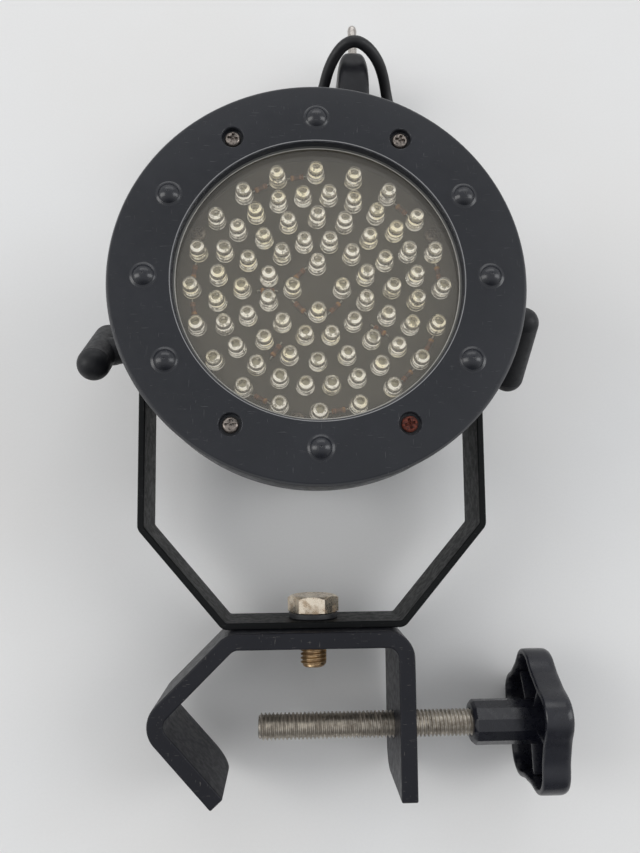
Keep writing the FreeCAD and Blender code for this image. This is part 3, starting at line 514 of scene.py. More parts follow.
# painted highlight: a pale colour standing for the light along the pane's edge
EDGE_HIGHLIGHT = moulded("window_edge_highlight", (0.34, 0.33, 0.30), rough=(0.2, 0.4), dust=0.0)
RUBBER = moulded("clear_gasket", (0.055, 0.055, 0.052), rough=(0.4, 0.6), dust=0.1)
BOARD = board_finish("board_laminate")
CUP = metal("lamp_reflector", (0.62, 0.60, 0.56), (0.45, 0.41, 0.34), rough=(0.18, 0.35),
            dirty=0.2)
LEADS = metal("tinned_lead", (0.66, 0.65, 0.62), (0.30, 0.27, 0.22), rough=(0.3, 0.5))
RESISTOR = banded("resistor_lacquer", (0.36, 0.13, 0.05),
                  ((0.06, 0.022, 0.012), (0.55, 0.30, 0.05)))
BRASS = metal("turned_brass", (0.66, 0.46, 0.18), (0.16, 0.10, 0.05))
NYLON = moulded("natural_nylon", (0.68, 0.67, 0.60))
CORE = metal("varnished_core", (0.16, 0.15, 0.15), (0.08, 0.04, 0.02), rough=(0.4, 0.6),
             metallic=0.6, along=(1, 1, 30))
SLEEVE = moulded("shrink_sleeve", (0.03, 0.04, 0.11), coat=0.4)
WIRE = moulded("wire_sheath", (0.42, 0.03, 0.02), rough=(0.3, 0.45))
GLAND = moulded("gland_nylon", (0.018, 0.018, 0.020), rough=(0.38, 0.5), grain=0.15)
SEAL = moulded("seal_rubber", (0.014, 0.014, 0.014), rough=(0.55, 0.75), dust=0.25)
BOSS = painted("boss_enamel", (0.020, 0.021, 0.023), wear=0.6, worn=(0.4, 0.4, 0.4), edge=0.3)
BAR = moulded("bar_plastic", (0.0055, 0.0060, 0.0078), rough=(0.42, 0.58), dust=0.12, grain=0.2,
              spec=0.35)
ZINC = metal("zinc_plate", (0.55, 0.54, 0.51), (0.20, 0.17, 0.13))
BOLT = metal("yellow_plate", (0.95, 0.84, 0.68), (0.34, 0.21, 0.10), rough=(0.22, 0.42),
             dirty=0.75, dirt_scale=260)
BOLT_END = metal("aged_thread", (0.60, 0.44, 0.26), (0.22, 0.12, 0.05), rough=(0.3, 0.5),
                 dirty=0.8, dirt_scale=420)
ROD = metal("worn_rod", (0.60, 0.56, 0.50), (0.20, 0.165, 0.125), rough=(0.26, 0.46),
            dirty=0.8, dirt_scale=330)
KNOB = moulded("knob_plastic", (0.0052, 0.0058, 0.0105), rough=(0.24, 0.36), dust=0.06, coat=0.15,
               grain=0.06)
PLUG = moulded("plug_plastic", (0.007, 0.0072, 0.0095), rough=(0.30, 0.45), dust=0.08, grain=0.15,
               spec=0.35)
NICKEL = metal("pin_nickel", (0.50, 0.47, 0.44), (0.25, 0.22, 0.19), dirty=0.4,
               rough=(0.2, 0.34))
CORD = moulded("cord_sheath", (0.0075, 0.0075, 0.0088), rough=(0.34, 0.50), dust=0.11, spec=0.4,
               grain=0.1)
TIE = moulded("tie_plastic", (0.02, 0.02, 0.022), rough=(0.3, 0.45))

# ---- head: bezel, collar, window

FACE = high("front_bezel").z
BEZEL_UNDER = low("front_bezel").z
BEZEL_REACH = high("front_bezel").x
WINDOW_REACH = 43.35
FIXING_CIRCLE = 51.5
RECESS_FLOOR = FACE - 1.8
CORNER = 1.2                    # the round on the bezel's outer edge
SCREW_ANGLES = (60, 120, 240, 300)
DOME_ANGLES = (0, 30, 90, 150, 180, 210, 270, 330)
RUSTY_ANGLE = 300


def angles(*degrees):
    """The same angles in radians."""
    return [radians(part) for part in degrees]


def on_circle(radius, degrees, level=0.0):
    angle = radians(degrees)
    return Vector((radius * cos(angle), radius * sin(angle), level))


def at_angle(radius, degrees, level=0.0, turn=0.0):
    """A place on a circle that faces outwards, turned further by so many degrees."""
    return shift(on_circle(radius, degrees, level)) @ turned(degrees + turn)


def build_bezel():
    """The faced ring with its rubbed edges, its screws' recesses and dome-headed rivets, and pale
    rings of painted highlight on its inner lip and outer edge.
    """
    section = [(WINDOW_REACH + 0.25, BEZEL_UNDER), (BEZEL_REACH - 0.3, BEZEL_UNDER),
               (BEZEL_REACH, BEZEL_UNDER + 0.3), (BEZEL_REACH, FACE - CORNER)]
    section += [(BEZEL_REACH - CORNER * (1 - cos(a)), FACE - CORNER * (1 - sin(a)))
                for a in angles(15, 30, 45, 60, 75, 90)]
    section += [(WINDOW_REACH + 0.9, FACE), (WINDOW_REACH + 0.45, FACE - 0.10),
                (WINDOW_REACH + 0.12, FACE - 0.32), (WINDOW_REACH, FACE - 0.75),
                (WINDOW_REACH, BEZEL_UNDER + 0.25)]
    plate = ring_lathe(section, 288)
    cutters = []
    for angle in SCREW_ANGLES:
        hole = lathe([(1.5, BEZEL_UNDER - 1), (1.5, RECESS_FLOOR), (3.2, RECESS_FLOOR + 0.02),
                      (3.25, FACE - 0.30), (3.42, FACE - 0.07), (3.9, FACE + 0.5)], 56)
        cutters.append(moved(hole, shift(on_circle(FIXING_CIRCLE, angle))))
    piece("bezel_plate", carved(plate, *cutters), BEZEL, "head",
          ["front_bezel"], sharp=34)

    reach, rise = 3.4, 1.9
    dome = [(reach, -0.6), (reach, 0.05), (reach - 0.12, 0.22)]
    ball = (reach ** 2 + rise ** 2) / (2 * rise)
    for step in range(1, 10):
        angle = asin(reach * 0.94 / ball) * (1 - step / 10)
        dome.append((ball * sin(angle), rise - ball * (1 - cos(angle))))
    dome += [(0.42, rise - 0.03), (0.26, rise - 0.20), (0.0, rise - 0.24)]
    fillet = ring_lathe([(reach - 0.5, -0.02), (reach + 0.75, -0.02), (reach + 0.35, 0.06),
                         (reach + 0.08, 0.22), (reach - 0.2, 0.35)], 40)
    # painted highlight: a thin pale ring on the inner lip's rounded edge
    lip_highlight = ring_lathe([(WINDOW_REACH + 0.38, FACE - 0.13), (WINDOW_REACH + 0.66, FACE - 0.04),
                      (WINDOW_REACH + 0.62, FACE + 0.01), (WINDOW_REACH + 0.38, FACE - 0.07)])
    piece("bezel_lip_highlight", lip_highlight, LIP_HIGHLIGHT, "head", sharp=30)
    # the lighter band on the rounded outer edge: rubbed paint and painted highlight
    band = [(BEZEL_REACH - CORNER + grown * cos(a), FACE - CORNER + grown * sin(a))
            for grown, degrees in ((1.19, (62, 50, 38, 26)), (1.215, (28, 38, 50, 60)))
            for a in angles(*degrees)]
    piece("bezel_rim_wear_and_highlight", ring_lathe(band), RIM_WEAR_AND_HIGHLIGHT, "head", sharp=30)
    domes = [moved(joined(lathe(dome, 40), fillet),
                   shift(on_circle(FIXING_CIRCLE, angle, FACE)))
             for angle in DOME_ANGLES]
    piece("bezel_domes", joined(*domes), DOME, "head", ["bezel_rivets"], sharp=50)


def cross_screw(reach, tall, shank_reach, shank_long):
    """A pan-head screw with a cross recess, standing on level 0."""
    head = [(shank_reach, -shank_long), (shank_reach, -0.01), (reach, 0.0), (reach, tall * 0.30)]
    for step in range(1, 7):
        angle = pi / 2 * step / 6
        head.append((reach * (1 - 0.42 * (1 - cos(angle))) if step < 6 else reach * 0.55,
                     tall * (0.30 + 0.70 * sin(angle))))
    head.append((0.0, tall * 1.02))
    slot = (reach * 1.24, reach * 0.34, tall * 1.3)
    cross = [block(slot, (0, 0, tall * 1.02), 1.12),
             block((slot[1], slot[0], slot[2]), (0, 0, tall * 1.02), 1.12)]
    core = lathe([(reach * 0.12, tall * 0.12), (reach * 0.30, tall * 1.3)], 16)
    return carved(lathe(head, 44), *cross, core)


def build_screws():
    """Every cross-head screw: four in the bezel, and those of the board, cover and flange."""
    screw = cross_screw(2.45, 1.3, 1.4, 8.6)
    plain = []
    for index, angle in enumerate(SCREW_ANGLES):
        place = at_angle(FIXING_CIRCLE, angle, RECESS_FLOOR, (17, 52, 31, 74)[index])
        if angle == RUSTY_ANGLE:
            piece("bezel_screw_rusty", moved(screw, place), RUST, "head", sharp=28)
        else:
            plain.append(moved(screw, place))
    piece("bezel_screws_new", joined(*plain), SCREWS, "head",
          ["bezel_screws"], sharp=28)

    small = cross_screw(2.4, 1.45, 1.1, 5.0)
    board_circle, board_level = 41.5, 104.5
    board = [moved(small, at_angle(board_circle, angle, board_level, angle))
             for angle in (27, 153, 261)]
    piece("board_screws_new", joined(*board), SCREWS, "head", ["board_screws"],
          sharp=28)
    outer, under = cross_screw(2.5, 1.3, 1.4, 3.6), cross_screw(2.2, 1.3, 1.4, 7.4)
    cover_reach, cover_level = 51.1, 15.0
    flange_circle, flange_level = 53.5, 96.5
    rear, flange = [], []
    for angle in (45, 135, 225, 315):
        rear.append(moved(outer, at_angle(cover_reach, angle, cover_level) @ TO_X))
        upside_down = at_angle(flange_circle, angle, flange_level) @ turned(180, "X")
        flange.append(moved(under, upside_down))
    piece("cover_screws_new", joined(*rear), SCREWS, "head",
          ["rear_cover_screws"], sharp=28)
    piece("flange_screws_new", joined(*flange), SCREWS, "head",
          ["flange_screws"], sharp=28)


def build_window():
    """The pane, the line of light on its edge, and the gasket's bead beside it."""
    top, under = high("window_glass").z, low("window_glass").z
    reach = high("window_glass").x
    glass = lathe([(reach - 0.2, under), (reach, under + 0.2), (reach, top - 0.2),
                   (reach - 0.2, top)], 192)
    piece("window_pane", glass, GLASS, "head", ["window_glass"])
    bead = ring_lathe([(WINDOW_REACH - 0.50, top + 0.02), (WINDOW_REACH + 0.6, top + 0.02),
                       (WINDOW_REACH + 0.6, BEZEL_UNDER + 0.3), (WINDOW_REACH - 0.1, top + 0.42),
                       (WINDOW_REACH - 0.42, top + 0.25)])
    # painted highlight: a thin pale flat ring just inside the bead, for the light on the pane's edge
    edge = ring_lathe([(WINDOW_REACH - 0.80, top + 0.01), (WINDOW_REACH - 0.50, top + 0.01),
                       (WINDOW_REACH - 0.50, top + 0.09), (WINDOW_REACH - 0.72, top + 0.09)])
    piece("window_edge_highlight", edge, EDGE_HIGHLIGHT, "head", sharp=28)
    piece("window_bead", bead, RUBBER, "head", sharp=60)
    keep("window_gasket", RUBBER, 0.25)


# ---- lamps and their board

LAMP_RINGS = ((4, 90.0), (12, 15.0), (16, 90.0), (24, 7.5), (20, 90.0))   # count, first angle
LAMP_STEP = 7.74
BOARD_TOP = high("lamp_board").z
LAMP_TOP = high("lamp_ring_1").z
LAMP_TALL, LAMP_GAP, LAMP_SINK = 7.35, 0.12, 0.22
LAMP_FOOT = LAMP_TOP - 7.6      # about where a lamp's foot comes to, to count its painted highlight bands from
LEG_APART = 1.27                # from a lamp's middle to either leg
# the lamp resin's material also carries the painted highlight bands and their glow
RESIN_WITH_PAINTED_HIGHLIGHTS = epoxy("lamp_resin_with_painted_highlights", LAMP_FOOT)
RESISTORS = (
    (5, 9, True), (5, 45, True), (5, 99, True), (5, 117, True), (5, 171, True), (5, 189, True),
    (5, 243, True), (5, 279, True), (5, 315, True), (5, 333, True), (1, 135, True), (1, 225, True),
    (1, 315, True), (2, 180, False), (3, 236.25, False), (3, 326.25, False),
)


RESISTOR_PLACES = [
    (on_circle(number * LAMP_STEP, angle, BOARD_TOP + 0.95), angle + (90 if across else 0))
    for number, angle, across in RESISTORS]                 # middle, and way along in degrees


def lamp_spots():
    """Each lamp's place on the board, with the first angle of its ring."""
    for number, (count, first) in enumerate(LAMP_RINGS, start=1):
        for index in range(count):
            yield on_circle(number * LAMP_STEP, first + 360 * index / count, BOARD_TOP), first


def post(sections):
    """A flat post inside a lamp, through sections of (level, half width, distance aside)."""
    half_thick = 0.24
    return loft([[Vector((x * wide, y * half_thick, level)) + Vector((aside, 0, 0))
                  for x, y in CORNERS] for level, wide, aside in sections])


def lamp_parts():
    """One lamp standing on level 0: its resin, its reflector and posts, and its legs."""
    tall, reach = LAMP_TALL, 2.5
    body = [(2.55, 0.0), (2.82, 0.12), (2.88, 0.3), (2.88, 0.75), (2.80, 0.92), (2.52, 1.0),
            (reach, 1.15), (reach, 2.6), (reach, tall - reach)]
    body += [(reach * cos(a), tall - reach + reach * sin(a))
             for a in angles(12, 24, 36, 48, 60, 72, 81)]
    body.append((0.0, tall))
    resin = lathe(body, 32)
    cup = ring_lathe([(0.10, 3.55), (0.50, 3.58), (1.22, 4.60), (1.42, 4.60), (1.42, 4.35),
                      (0.95, 3.2), (0.10, 3.15)], 20)
    anvil = post(((0.2, 0.28, -LEG_APART), (1.5, 0.30, -1.2), (2.3, 1.05, -0.45),
                  (3.45, 1.15, -0.1)))
    flag = post(((0.2, 0.28, LEG_APART), (2.3, 0.30, 1.35), (3.3, 0.45, 1.25), (4.35, 0.42, 1.18)))
    legs = joined(*[block((0.5, 0.5, 1.9), (x, 0, -0.75)) for x in (-LEG_APART, LEG_APART)])
    return resin, joined(cup, anvil, flag), legs


def build_lamps():
    """Every lamp, each leaning, turned and sunk a little of its own accord."""
    resin, inner, legs = lamp_parts()
    die = lathe([(0.48, 3.58), (0.72, 3.90), (0.62, 4.02), (0.0, 4.08)], 16)
    phosphor = metal("lamp_phosphor", (0.60, 0.56, 0.42), (0.52, 0.50, 0.44), rough=(0.5, 0.6),
                     metallic=0.0)
    lift = LAMP_TOP - BOARD_TOP - LAMP_TALL - LAMP_GAP
    places = []
    for spot, first in lamp_spots():
        lean = Euler((SEED.gauss(0, 0.028), SEED.gauss(0, 0.028), 0)).to_matrix().to_4x4()
        turn = Matrix.Rotation(SEED.choice((0, 1, 2, 3)) * pi / 2 + SEED.gauss(0, 0.25)
                               + radians(first), 4, "Z")
        sink = shift((0, 0, lift - SEED.uniform(0.0, LAMP_SINK)))
        places.append(shift(spot) @ lean @ turn @ sink)

    def everywhere(solid):
        return joined(*[moved(solid, place) for place in places])

    piece("lamp_lenses", everywhere(resin), RESIN_WITH_PAINTED_HIGHLIGHTS, "head",
          [f"lamp_ring_{number}" for number in range(1, 6)], sharp=40)
    piece("lamp_reflectors", everywhere(inner), CUP, "head", sharp=30)
    piece("lamp_dies", everywhere(die), phosphor, "head", sharp=30)
    piece("lamp_legs", everywhere(legs), LEADS, "head", sharp=30)


def resistor_parts():
    """A resistor along X with a waisted body, and its two leads bent down to the board."""
    outline = ((0.30, -2.15), (0.62, -2.10), (0.86, -1.90), (0.90, -1.45), (0.80, -1.15),
               (0.76, -0.60), (0.76, 0.60), (0.80, 1.15), (0.90, 1.45), (0.86, 1.90),
               (0.62, 2.10), (0.30, 2.15))
    body = moved(lathe(outline, 20), TO_X)
    leads, lead_reach = [], 0.24
    bend = [(2.0, 0.0), (2.75, 0.0), (3.05, -0.12), (3.18, -0.45), (3.2, -1.3)]
    for side in (-1, 1):
        rings = []
        for index, (x, z) in enumerate(bend):
            before, after = bend[max(index - 1, 0)], bend[min(index + 1, len(bend) - 1)]
            along = Vector((after[0] - before[0], 0, after[1] - before[1])).normalized()
            across = Vector((side * -along.z, 0, along.x))
            rings.append([Vector((side * x, 0, z))
                          + lead_reach * (cos(a) * across + sin(a) * Vector((0, 1, 0)))
                          for a in around(8)])
        leads.append(loft(rings))
    return body, joined(*leads)


def build_board():
    """The lamp board with its resistors, and a heap of solder at each leg of a lamp."""
    keep("lamp_board", BOARD, 0.15)
    body, leads = resistor_parts()
    bodies, wires = [], []
    for spot, way in RESISTOR_PLACES:
        place = shift(spot) @ turned(way)
        bodies.append(moved(body, place))
        wires.append(moved(leads, place))
    shown = piece("resistor_bodies", joined(*bodies), RESISTOR, "head",
                  ["board_resistors"])
    paint_bands(shown)
    piece("resistor_leads", joined(*wires), LEADS, "head")
    heap = lathe([(0.75, -0.02), (0.62, 0.10), (0.38, 0.32), (0.0, 0.40)], 10)
    heaps = [moved(heap, shift(middle + Vector((side * LEG_APART, 0, 0))))
             for middle, _ in lamp_spots() for side in (-1, 1)]
    piece("board_solder", joined(*heaps), LEADS, "head", sharp=60)


def paint_bands(shown):
    """Mark which points of each resistor belong to its dark and its gold bands."""
    half_wide, inner, outer = 0.2, 0.6, 1.45        # a band, and how far out the bands lie
    layer = shown.data.color_attributes.new("band", "FLOAT_COLOR", "POINT")
    for vertex in shown.data.vertices:
        here = vertex.co / MM
        middle, way = min(RESISTOR_PLACES, key=lambda place: (place[0] - here).length)
        along = (here - middle).dot(on_circle(1.0, way))
        dark = min(abs(along + outer), abs(along + inner), abs(along - inner)) < half_wide
        gold = abs(along - outer) < half_wide
        layer.data[vertex.index].color = (float(dark), float(gold), 0.0, 1.0)


def build_housing():
    """The collar, with a hollow from below and a step for the window, and what the can holds."""
    top, under = high("front_collar").z, low("front_collar").z
    reach, land = high("front_collar").x, 60.5
    seam = top - 0.6
    ledge, ledge_top = 38.5, 100.5
    bore, seat, seat_level = 45.0, 46.6, 111.9
    hollow_in, hollow_out, hollow_top = 55.2, 59.4, 112.0
    section = [(ledge, under), (hollow_in, under), (hollow_in, hollow_top),
               (hollow_out, hollow_top), (hollow_out, under),
               (reach - 1.0, under), (reach - 0.55, under + 0.15), (reach - 0.15, under + 0.55),
               (reach, under + 1.0), (reach, seam - 0.30), (reach - 0.09, seam - 0.09),
               (reach - 0.30, seam), (land, seam), (land, top), (seat, top), (seat, seat_level),
               (bore, seat_level), (bore, ledge_top), (ledge, ledge_top)]
    piece("collar", ring_lathe(section, 256), COLLAR, "head", ["front_collar"])
    for node, material, round_edge in (
            ("can_body", CAN, 0.3), ("rear_cover", CAN, 0.35), ("board_standoffs", BRASS, 0.15),
            ("supply_board", BOARD, 0.15), ("supply_capacitors", SLEEVE, 0.4),
            ("supply_lead", CORD, 0.0), ("supply_screws", SCREWS, 0.2),
            ("supply_standoffs", NYLON, 0.2), ("supply_transformer", CORE, 0.4),
            ("terminal_block", NYLON, 0.4), ("lamp_wires", WIRE, 0.0)):
        keep(node, material, round_edge)


# ---- gland

def build_gland():
    """The cord's gland, with flutes round its cap."""
    keep("cable_gland", GLAND, 0.35)
    keep("gland_lock_nut", GLAND, 0.3)
    keep("gland_seal", SEAL, 0.2)
    start, end = low("gland_cap").y, high("gland_cap").y
    middle = (low("gland_cap") + high("gland_cap")) / 2

    def fluted(radius, depth):
        return lambda angle: radius - depth * max(0.0, cos(14 * angle)) ** 2

    tall = end - start
    rings = [ring(fluted(r, d), z, 112) for r, d, z in (
        (3.2, 0, 0.0), (7.4, 0, 0.0), (7.85, 0.15, 0.25), (8.0, 0.45, 0.9), (8.0, 0.5, 5.2),
        (7.75, 0.4, 6.2), (7.2, 0.2, 7.3), (6.3, 0, 8.3), (5.4, 0, 8.8), (4.6, 0, tall),
        (4.0, 0, tall), (3.6, 0, tall - 0.5), (3.2, 0, tall - 1.5))]
    cap = moved(loft(rings), shift((middle.x, start, middle.z)) @ TO_Y)
    piece("gland_cap_new", cap, GLAND, "head", ["gland_cap"], sharp=30)


# ---- pivots and T-bars

def build_pivots():
    """On each side the pivot's parts and its T-bar: a neck, and a grip with a seam at each end."""
    centre, reach, half = 82.6, 6.25, 13.9          # the grip's place, its radius, its straight half
    for name, side, lean in (("left", -1, 36.0), ("right", 1, -34.0)):
        keep(f"pivot_boss_{name}", BOSS, 0.5)
        keep(f"friction_ring_{name}", SEAL, 0.3)
        keep(f"lock_washer_{name}", ZINC, 0.3)
        keep(f"lock_stud_{name}", ZINC)
        inner = high(f"lock_washer_{name}").x if side > 0 else -low(f"lock_washer_{name}").x
        outward = shift(PIVOT) @ (TO_X if side > 0 else TO_X.inverted())
        neck = lathe([(4.4, inner), (4.95, inner + 0.15), (5.0, inner + 0.5), (5.0, inner + 3.4),
                      (4.8, inner + 4.2), (4.8, centre - reach - 2.0), (5.0, centre - reach - 0.6),
                      (5.35, centre - reach + 0.5), (5.6, centre - reach + 2.5), (5.6, centre)])
        grip = [(0.0, -half - reach)]
        for level, way in ((-half, -1), (half, 1)):
            steps = (80, 70, 58, 46, 34, 22, 11, 3)
            curve = [(reach * cos(a), level + way * reach * sin(a))
                     for a in angles(*steps[::-way])]
            seam = [(reach - 0.14, level + way * 0.12), (reach - 0.14, level - way * 0.12),
                    (reach, level - way * 0.32)]
            grip += curve + seam if way < 0 else list(reversed(seam)) + curve
        grip.append((0.0, half + reach))
        turn = shift(PIVOT + Vector((side * centre, 0, 0))) @ turned(lean, "X")
        bar = joined(moved(neck, outward), moved(lathe(grip, 56), turn))
        piece(f"grip_bar_{name}", bar, BAR, f"lock_{name}", [f"lock_bar_{name}"],
              sharp=24)


# ---- yoke, clamp and bolt

def build_yoke_and_clamp():
    keep("yoke", YOKE, 0.5)
    keep("yoke_washer", BOSS, 0.3)
    keep("clamp_frame", CLAMP, 0.9, 4)


def build_bolt():
    """The yoke's bolt: a hexagon head with its corners turned off, and the thread's end below."""
    head_low, head_tall, half = 102.1, 6.4, 17.0 / 2
    corner = radians(25 + 30)       # where a corner points about the bolt
    full = half / cos(radians(30))

    def hexagon(shrink, limit):
        def reach(angle):
            off = (angle - corner) % radians(60) - radians(30)
            return min((half - shrink) / cos(off), limit)
        return reach

    outlines = [(hexagon(0.9, half - 0.5), 0.0), (hexagon(0.05, half + 0.3), 0.15)]
    for level, limit in ((0.35, full), (head_tall - 1.0, full), (head_tall - 0.85, full - 0.12),
                         (head_tall - 0.6, full - 0.45), (head_tall - 0.35, full - 0.8),
                         (head_tall - 0.12, full - 1.2), (head_tall, full - 1.7)):
        outlines.append((hexagon(0.0, limit), level))
    outlines += [(half - 1.0, head_tall), (half - 1.25, head_tall - 0.12),
                 (0.01, head_tall - 0.15)]
    rings = [ring(outline, level, 144) for outline, level in outlines]
    up = SLOPED @ shift((0, -head_low, 0)) @ TO_Y
    piece("bolt_head", moved(loft(rings), up), BOLT, "clamp", ["yoke_bolt"], sharp=20)
    end = 122.5
    down = SLOPED @ shift((0, -end, 0)) @ TO_Y
    shank = threaded_rod(end - head_low + 0.2, 1.1)
    piece("bolt_thread", moved(shank, down), BOLT_END, "clamp", sharp=50)


# ---- clamping screw and star knob

SCREW_AXIS = Vector((0, -144.7, 0))
ROD_START, ROD_END = -21.1, 80.0
STEM_START = 60.0
KNOB_FRONT, KNOB_BACK = 81.2, 92.0


def build_clamp_screw():
    rod = threaded_rod(ROD_END - ROD_START, 1.0)
    place = SLOPED @ shift(SCREW_AXIS + Vector((ROD_START, 0, 0))) @ TO_X
    piece("rod_thread", moved(rod, place), ROD, "clamp_screw", ["clamp_screw"],
          sharp=50)


def lobed(count=240):
    """The star's outline about its axis: five low lobes with soft hollows between them."""
    circle, lobe, core = 17.5, 9.5, 22.4
    raw = []
    for angle in around(count):
        off = (angle + radians(36)) % radians(72) - radians(36)
        side = circle * sin(abs(off))
        reach = circle * cos(off) + sqrt(lobe ** 2 - side ** 2) if side < lobe else core
        raw.append(max(reach, core))
    width, softness = 9, 5.0
    weights = [exp(-(k / softness) ** 2) for k in range(-width, width + 1)]
    soft = [sum(weight * raw[(step + k - width) % count] for k, weight in enumerate(weights))
            / sum(weights) for step in range(count)]
    scale = (circle + lobe - 0.05) / max(soft)
    return [reach * scale for reach in soft]


def star_ring(outline, inset, level):
    """A ring of the star, moved inwards by inset along the outline's own normal."""
    count = len(outline)
    spots = [Vector((reach * cos(angle), reach * sin(angle)))
             for angle, reach in zip(around(count), outline)]
    points = []
    for step in range(count):
        along = (spots[(step + 1) % count] - spots[step - 1]).normalized()
        inwards = Vector((-along.y, along.x))
        shifted = spots[step] + inwards * inset
        points.append(Vector((shifted.x, shifted.y, level)))
    return points


def build_knob():
    """The star knob: a cup of five lobes, the faceted stem in it, and a rib out to each lobe."""
    outline = lobed()
    thick = KNOB_BACK - KNOB_FRONT
    rings = [star_ring(outline, inset, level) for inset, level in (
        (3.0, thick - 3.0), (2.75, thick - 4.4), (2.5, 3.0), (2.3, 1.0), (2.05, 0.35), (1.6, 0.05),
        (1.2, 0.0), (0.8, 0.05), (0.4, 0.22), (0.15, 0.55), (0.05, 1.1), (0.0, 3.0),
        (0.0, thick - 3.2), (0.08, thick - 2.2), (0.35, thick - 1.3), (0.85, thick - 0.6),
        (1.6, thick - 0.2), (2.6, thick - 0.03), (4.0, thick))]
    back = [[Vector((point.x * share, point.y * share, thick - dip)) for point in rings[-1]]
            for share, dip in ((0.75, 0.0), (0.62, 0.05), (0.58, 0.5), (0.40, 0.9), (0.05, 1.0))]
    web = [[Vector((point.x * share, point.y * share, thick - 2.8)) for point in rings[0]]
           for share in (0.05, 0.5, 0.9)]
    cup = loft(web + rings + back)

    def facet(radius):
        half = radians(15)
        return lambda angle: radius * cos(half) / cos(angle % (2 * half) - half)

    start = STEM_START - KNOB_FRONT
    stem = loft([ring(reach, level, 120) for reach, level in (
        (5.15, start + 1.6), (5.15, start + 0.25), (5.4, start), (6.7, start),
        (7.1, start + 0.1))] + [ring(facet(reach), level, 120) for reach, level in (
            (7.75, start + 0.55), (8.3, start + 1.35), (8.3, 0.5), (8.3, 4.0), (9.0, thick - 2.6))])
    ribs = []
    rib_in, rib_out = 7.0, 19.6
    rib = loft([[Vector((rib_in, -w, z0)), Vector((rib_out, -w, z1)), Vector((rib_out, w, z1)),
                 Vector((rib_in, w, z0))] for w, z0, z1 in (
                     (0.75, thick - 2.6, thick - 2.6), (0.65, 2.6, 3.0), (0.45, 2.2, 2.6))])
    for number in range(5):
        ribs.append(moved(rib, turned(36 + 72 * number)))
    place = SLOPED @ shift(SCREW_AXIS + Vector((KNOB_FRONT, 0, 0))) @ TO_X
    knob = moved(joined(cup, stem, *ribs), place @ turned(160))
    piece("star_grip", knob, KNOB, "star_knob", ["star_knob"], sharp=26)
    keep("knob_insert", BRASS)


# ---- cord, coil and plug

FEED = ((0, 68.5, 30), (0, 79, 30), (1, 90.5, 22.6))
TAIL = (
    (1, 91, 2.7), (1.4, 101, 3.1), (2.8, 111, 6), (4.9, 121, 12.5), (7.6, 129, 19.5),
    (10.1, 135.3, 27.4), (14.8, 139.9, 34.3), (20.5, 141.6, 37), (26.4, 140.2, 35),
    (31.9, 137.2, 29.4), (35.2, 133.4, 22.5), (37.2, 127.5, 16), (41.5, 115, 10.5),
    (46.5, 102, 7.5), (51.5, 88.5, 6.5), (54, 75, 6.5), (49.5, 60.5, 8), (37.5, 55, 11),
    (25.5, 60, 14), (21, 72, 15.1), (21, 84, 15.1),
)
COIL_CENTRE = (-24.0, 91.0)
COIL_REACH, COIL_TURNS, COIL_START, COIL_STOP = 25.0, 4, 22.5, 2.55
CORD_THICK = 5.0
PLUG_X, PLUG_LEVEL, PLUG_REAR, PLUG_NOSE, RELIEF_END = 21.0, 15.1, 105.0, 143.5, 84.0
PIN_APART = 9.3                 # from the plug's middle to either pin


def coil_points():
    """Control points of the coil's turns, between the feed's end and the tail's start."""
    points = []
    steps_a_turn = 16
    steps = steps_a_turn * COIL_TURNS
    for step in range(1, steps):
        angle = 2 * pi * step / steps_a_turn
        level = COIL_START + (COIL_STOP - COIL_START) * step / steps
        points.append((COIL_CENTRE[0] + COIL_REACH * cos(angle),
                       COIL_CENTRE[1] + COIL_REACH * sin(angle), level))
    return points


def build_cord():
    """The cord as one curve, with the plug and the coil's tie as its pieces."""
    line = bpy.data.curves.new("mains_cord", "CURVE")
    line.dimensions = "3D"
    line.bevel_depth = CORD_THICK / 2 * MM
    line.bevel_resolution = 6
    line.use_fill_caps = True
    spline = line.splines.new("NURBS")
    route = list(FEED) + coil_points() + list(TAIL)
    spline.points.add(len(route) - 1)
    for point, spot in zip(spline.points, route):
        point.co = (*(Vector(spot) * MM), 1.0)
    spline.order_u = 3
    spline.use_endpoint_u = True
    spline.resolution_u = 8
    line.materials.append(CORD)
    cord = placed("mains_cord", line)
    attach(cord, "head")
    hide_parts("cord_feed", "cord_coil", "cord_tail")
    plug = build_plug()
    tie = build_tie()


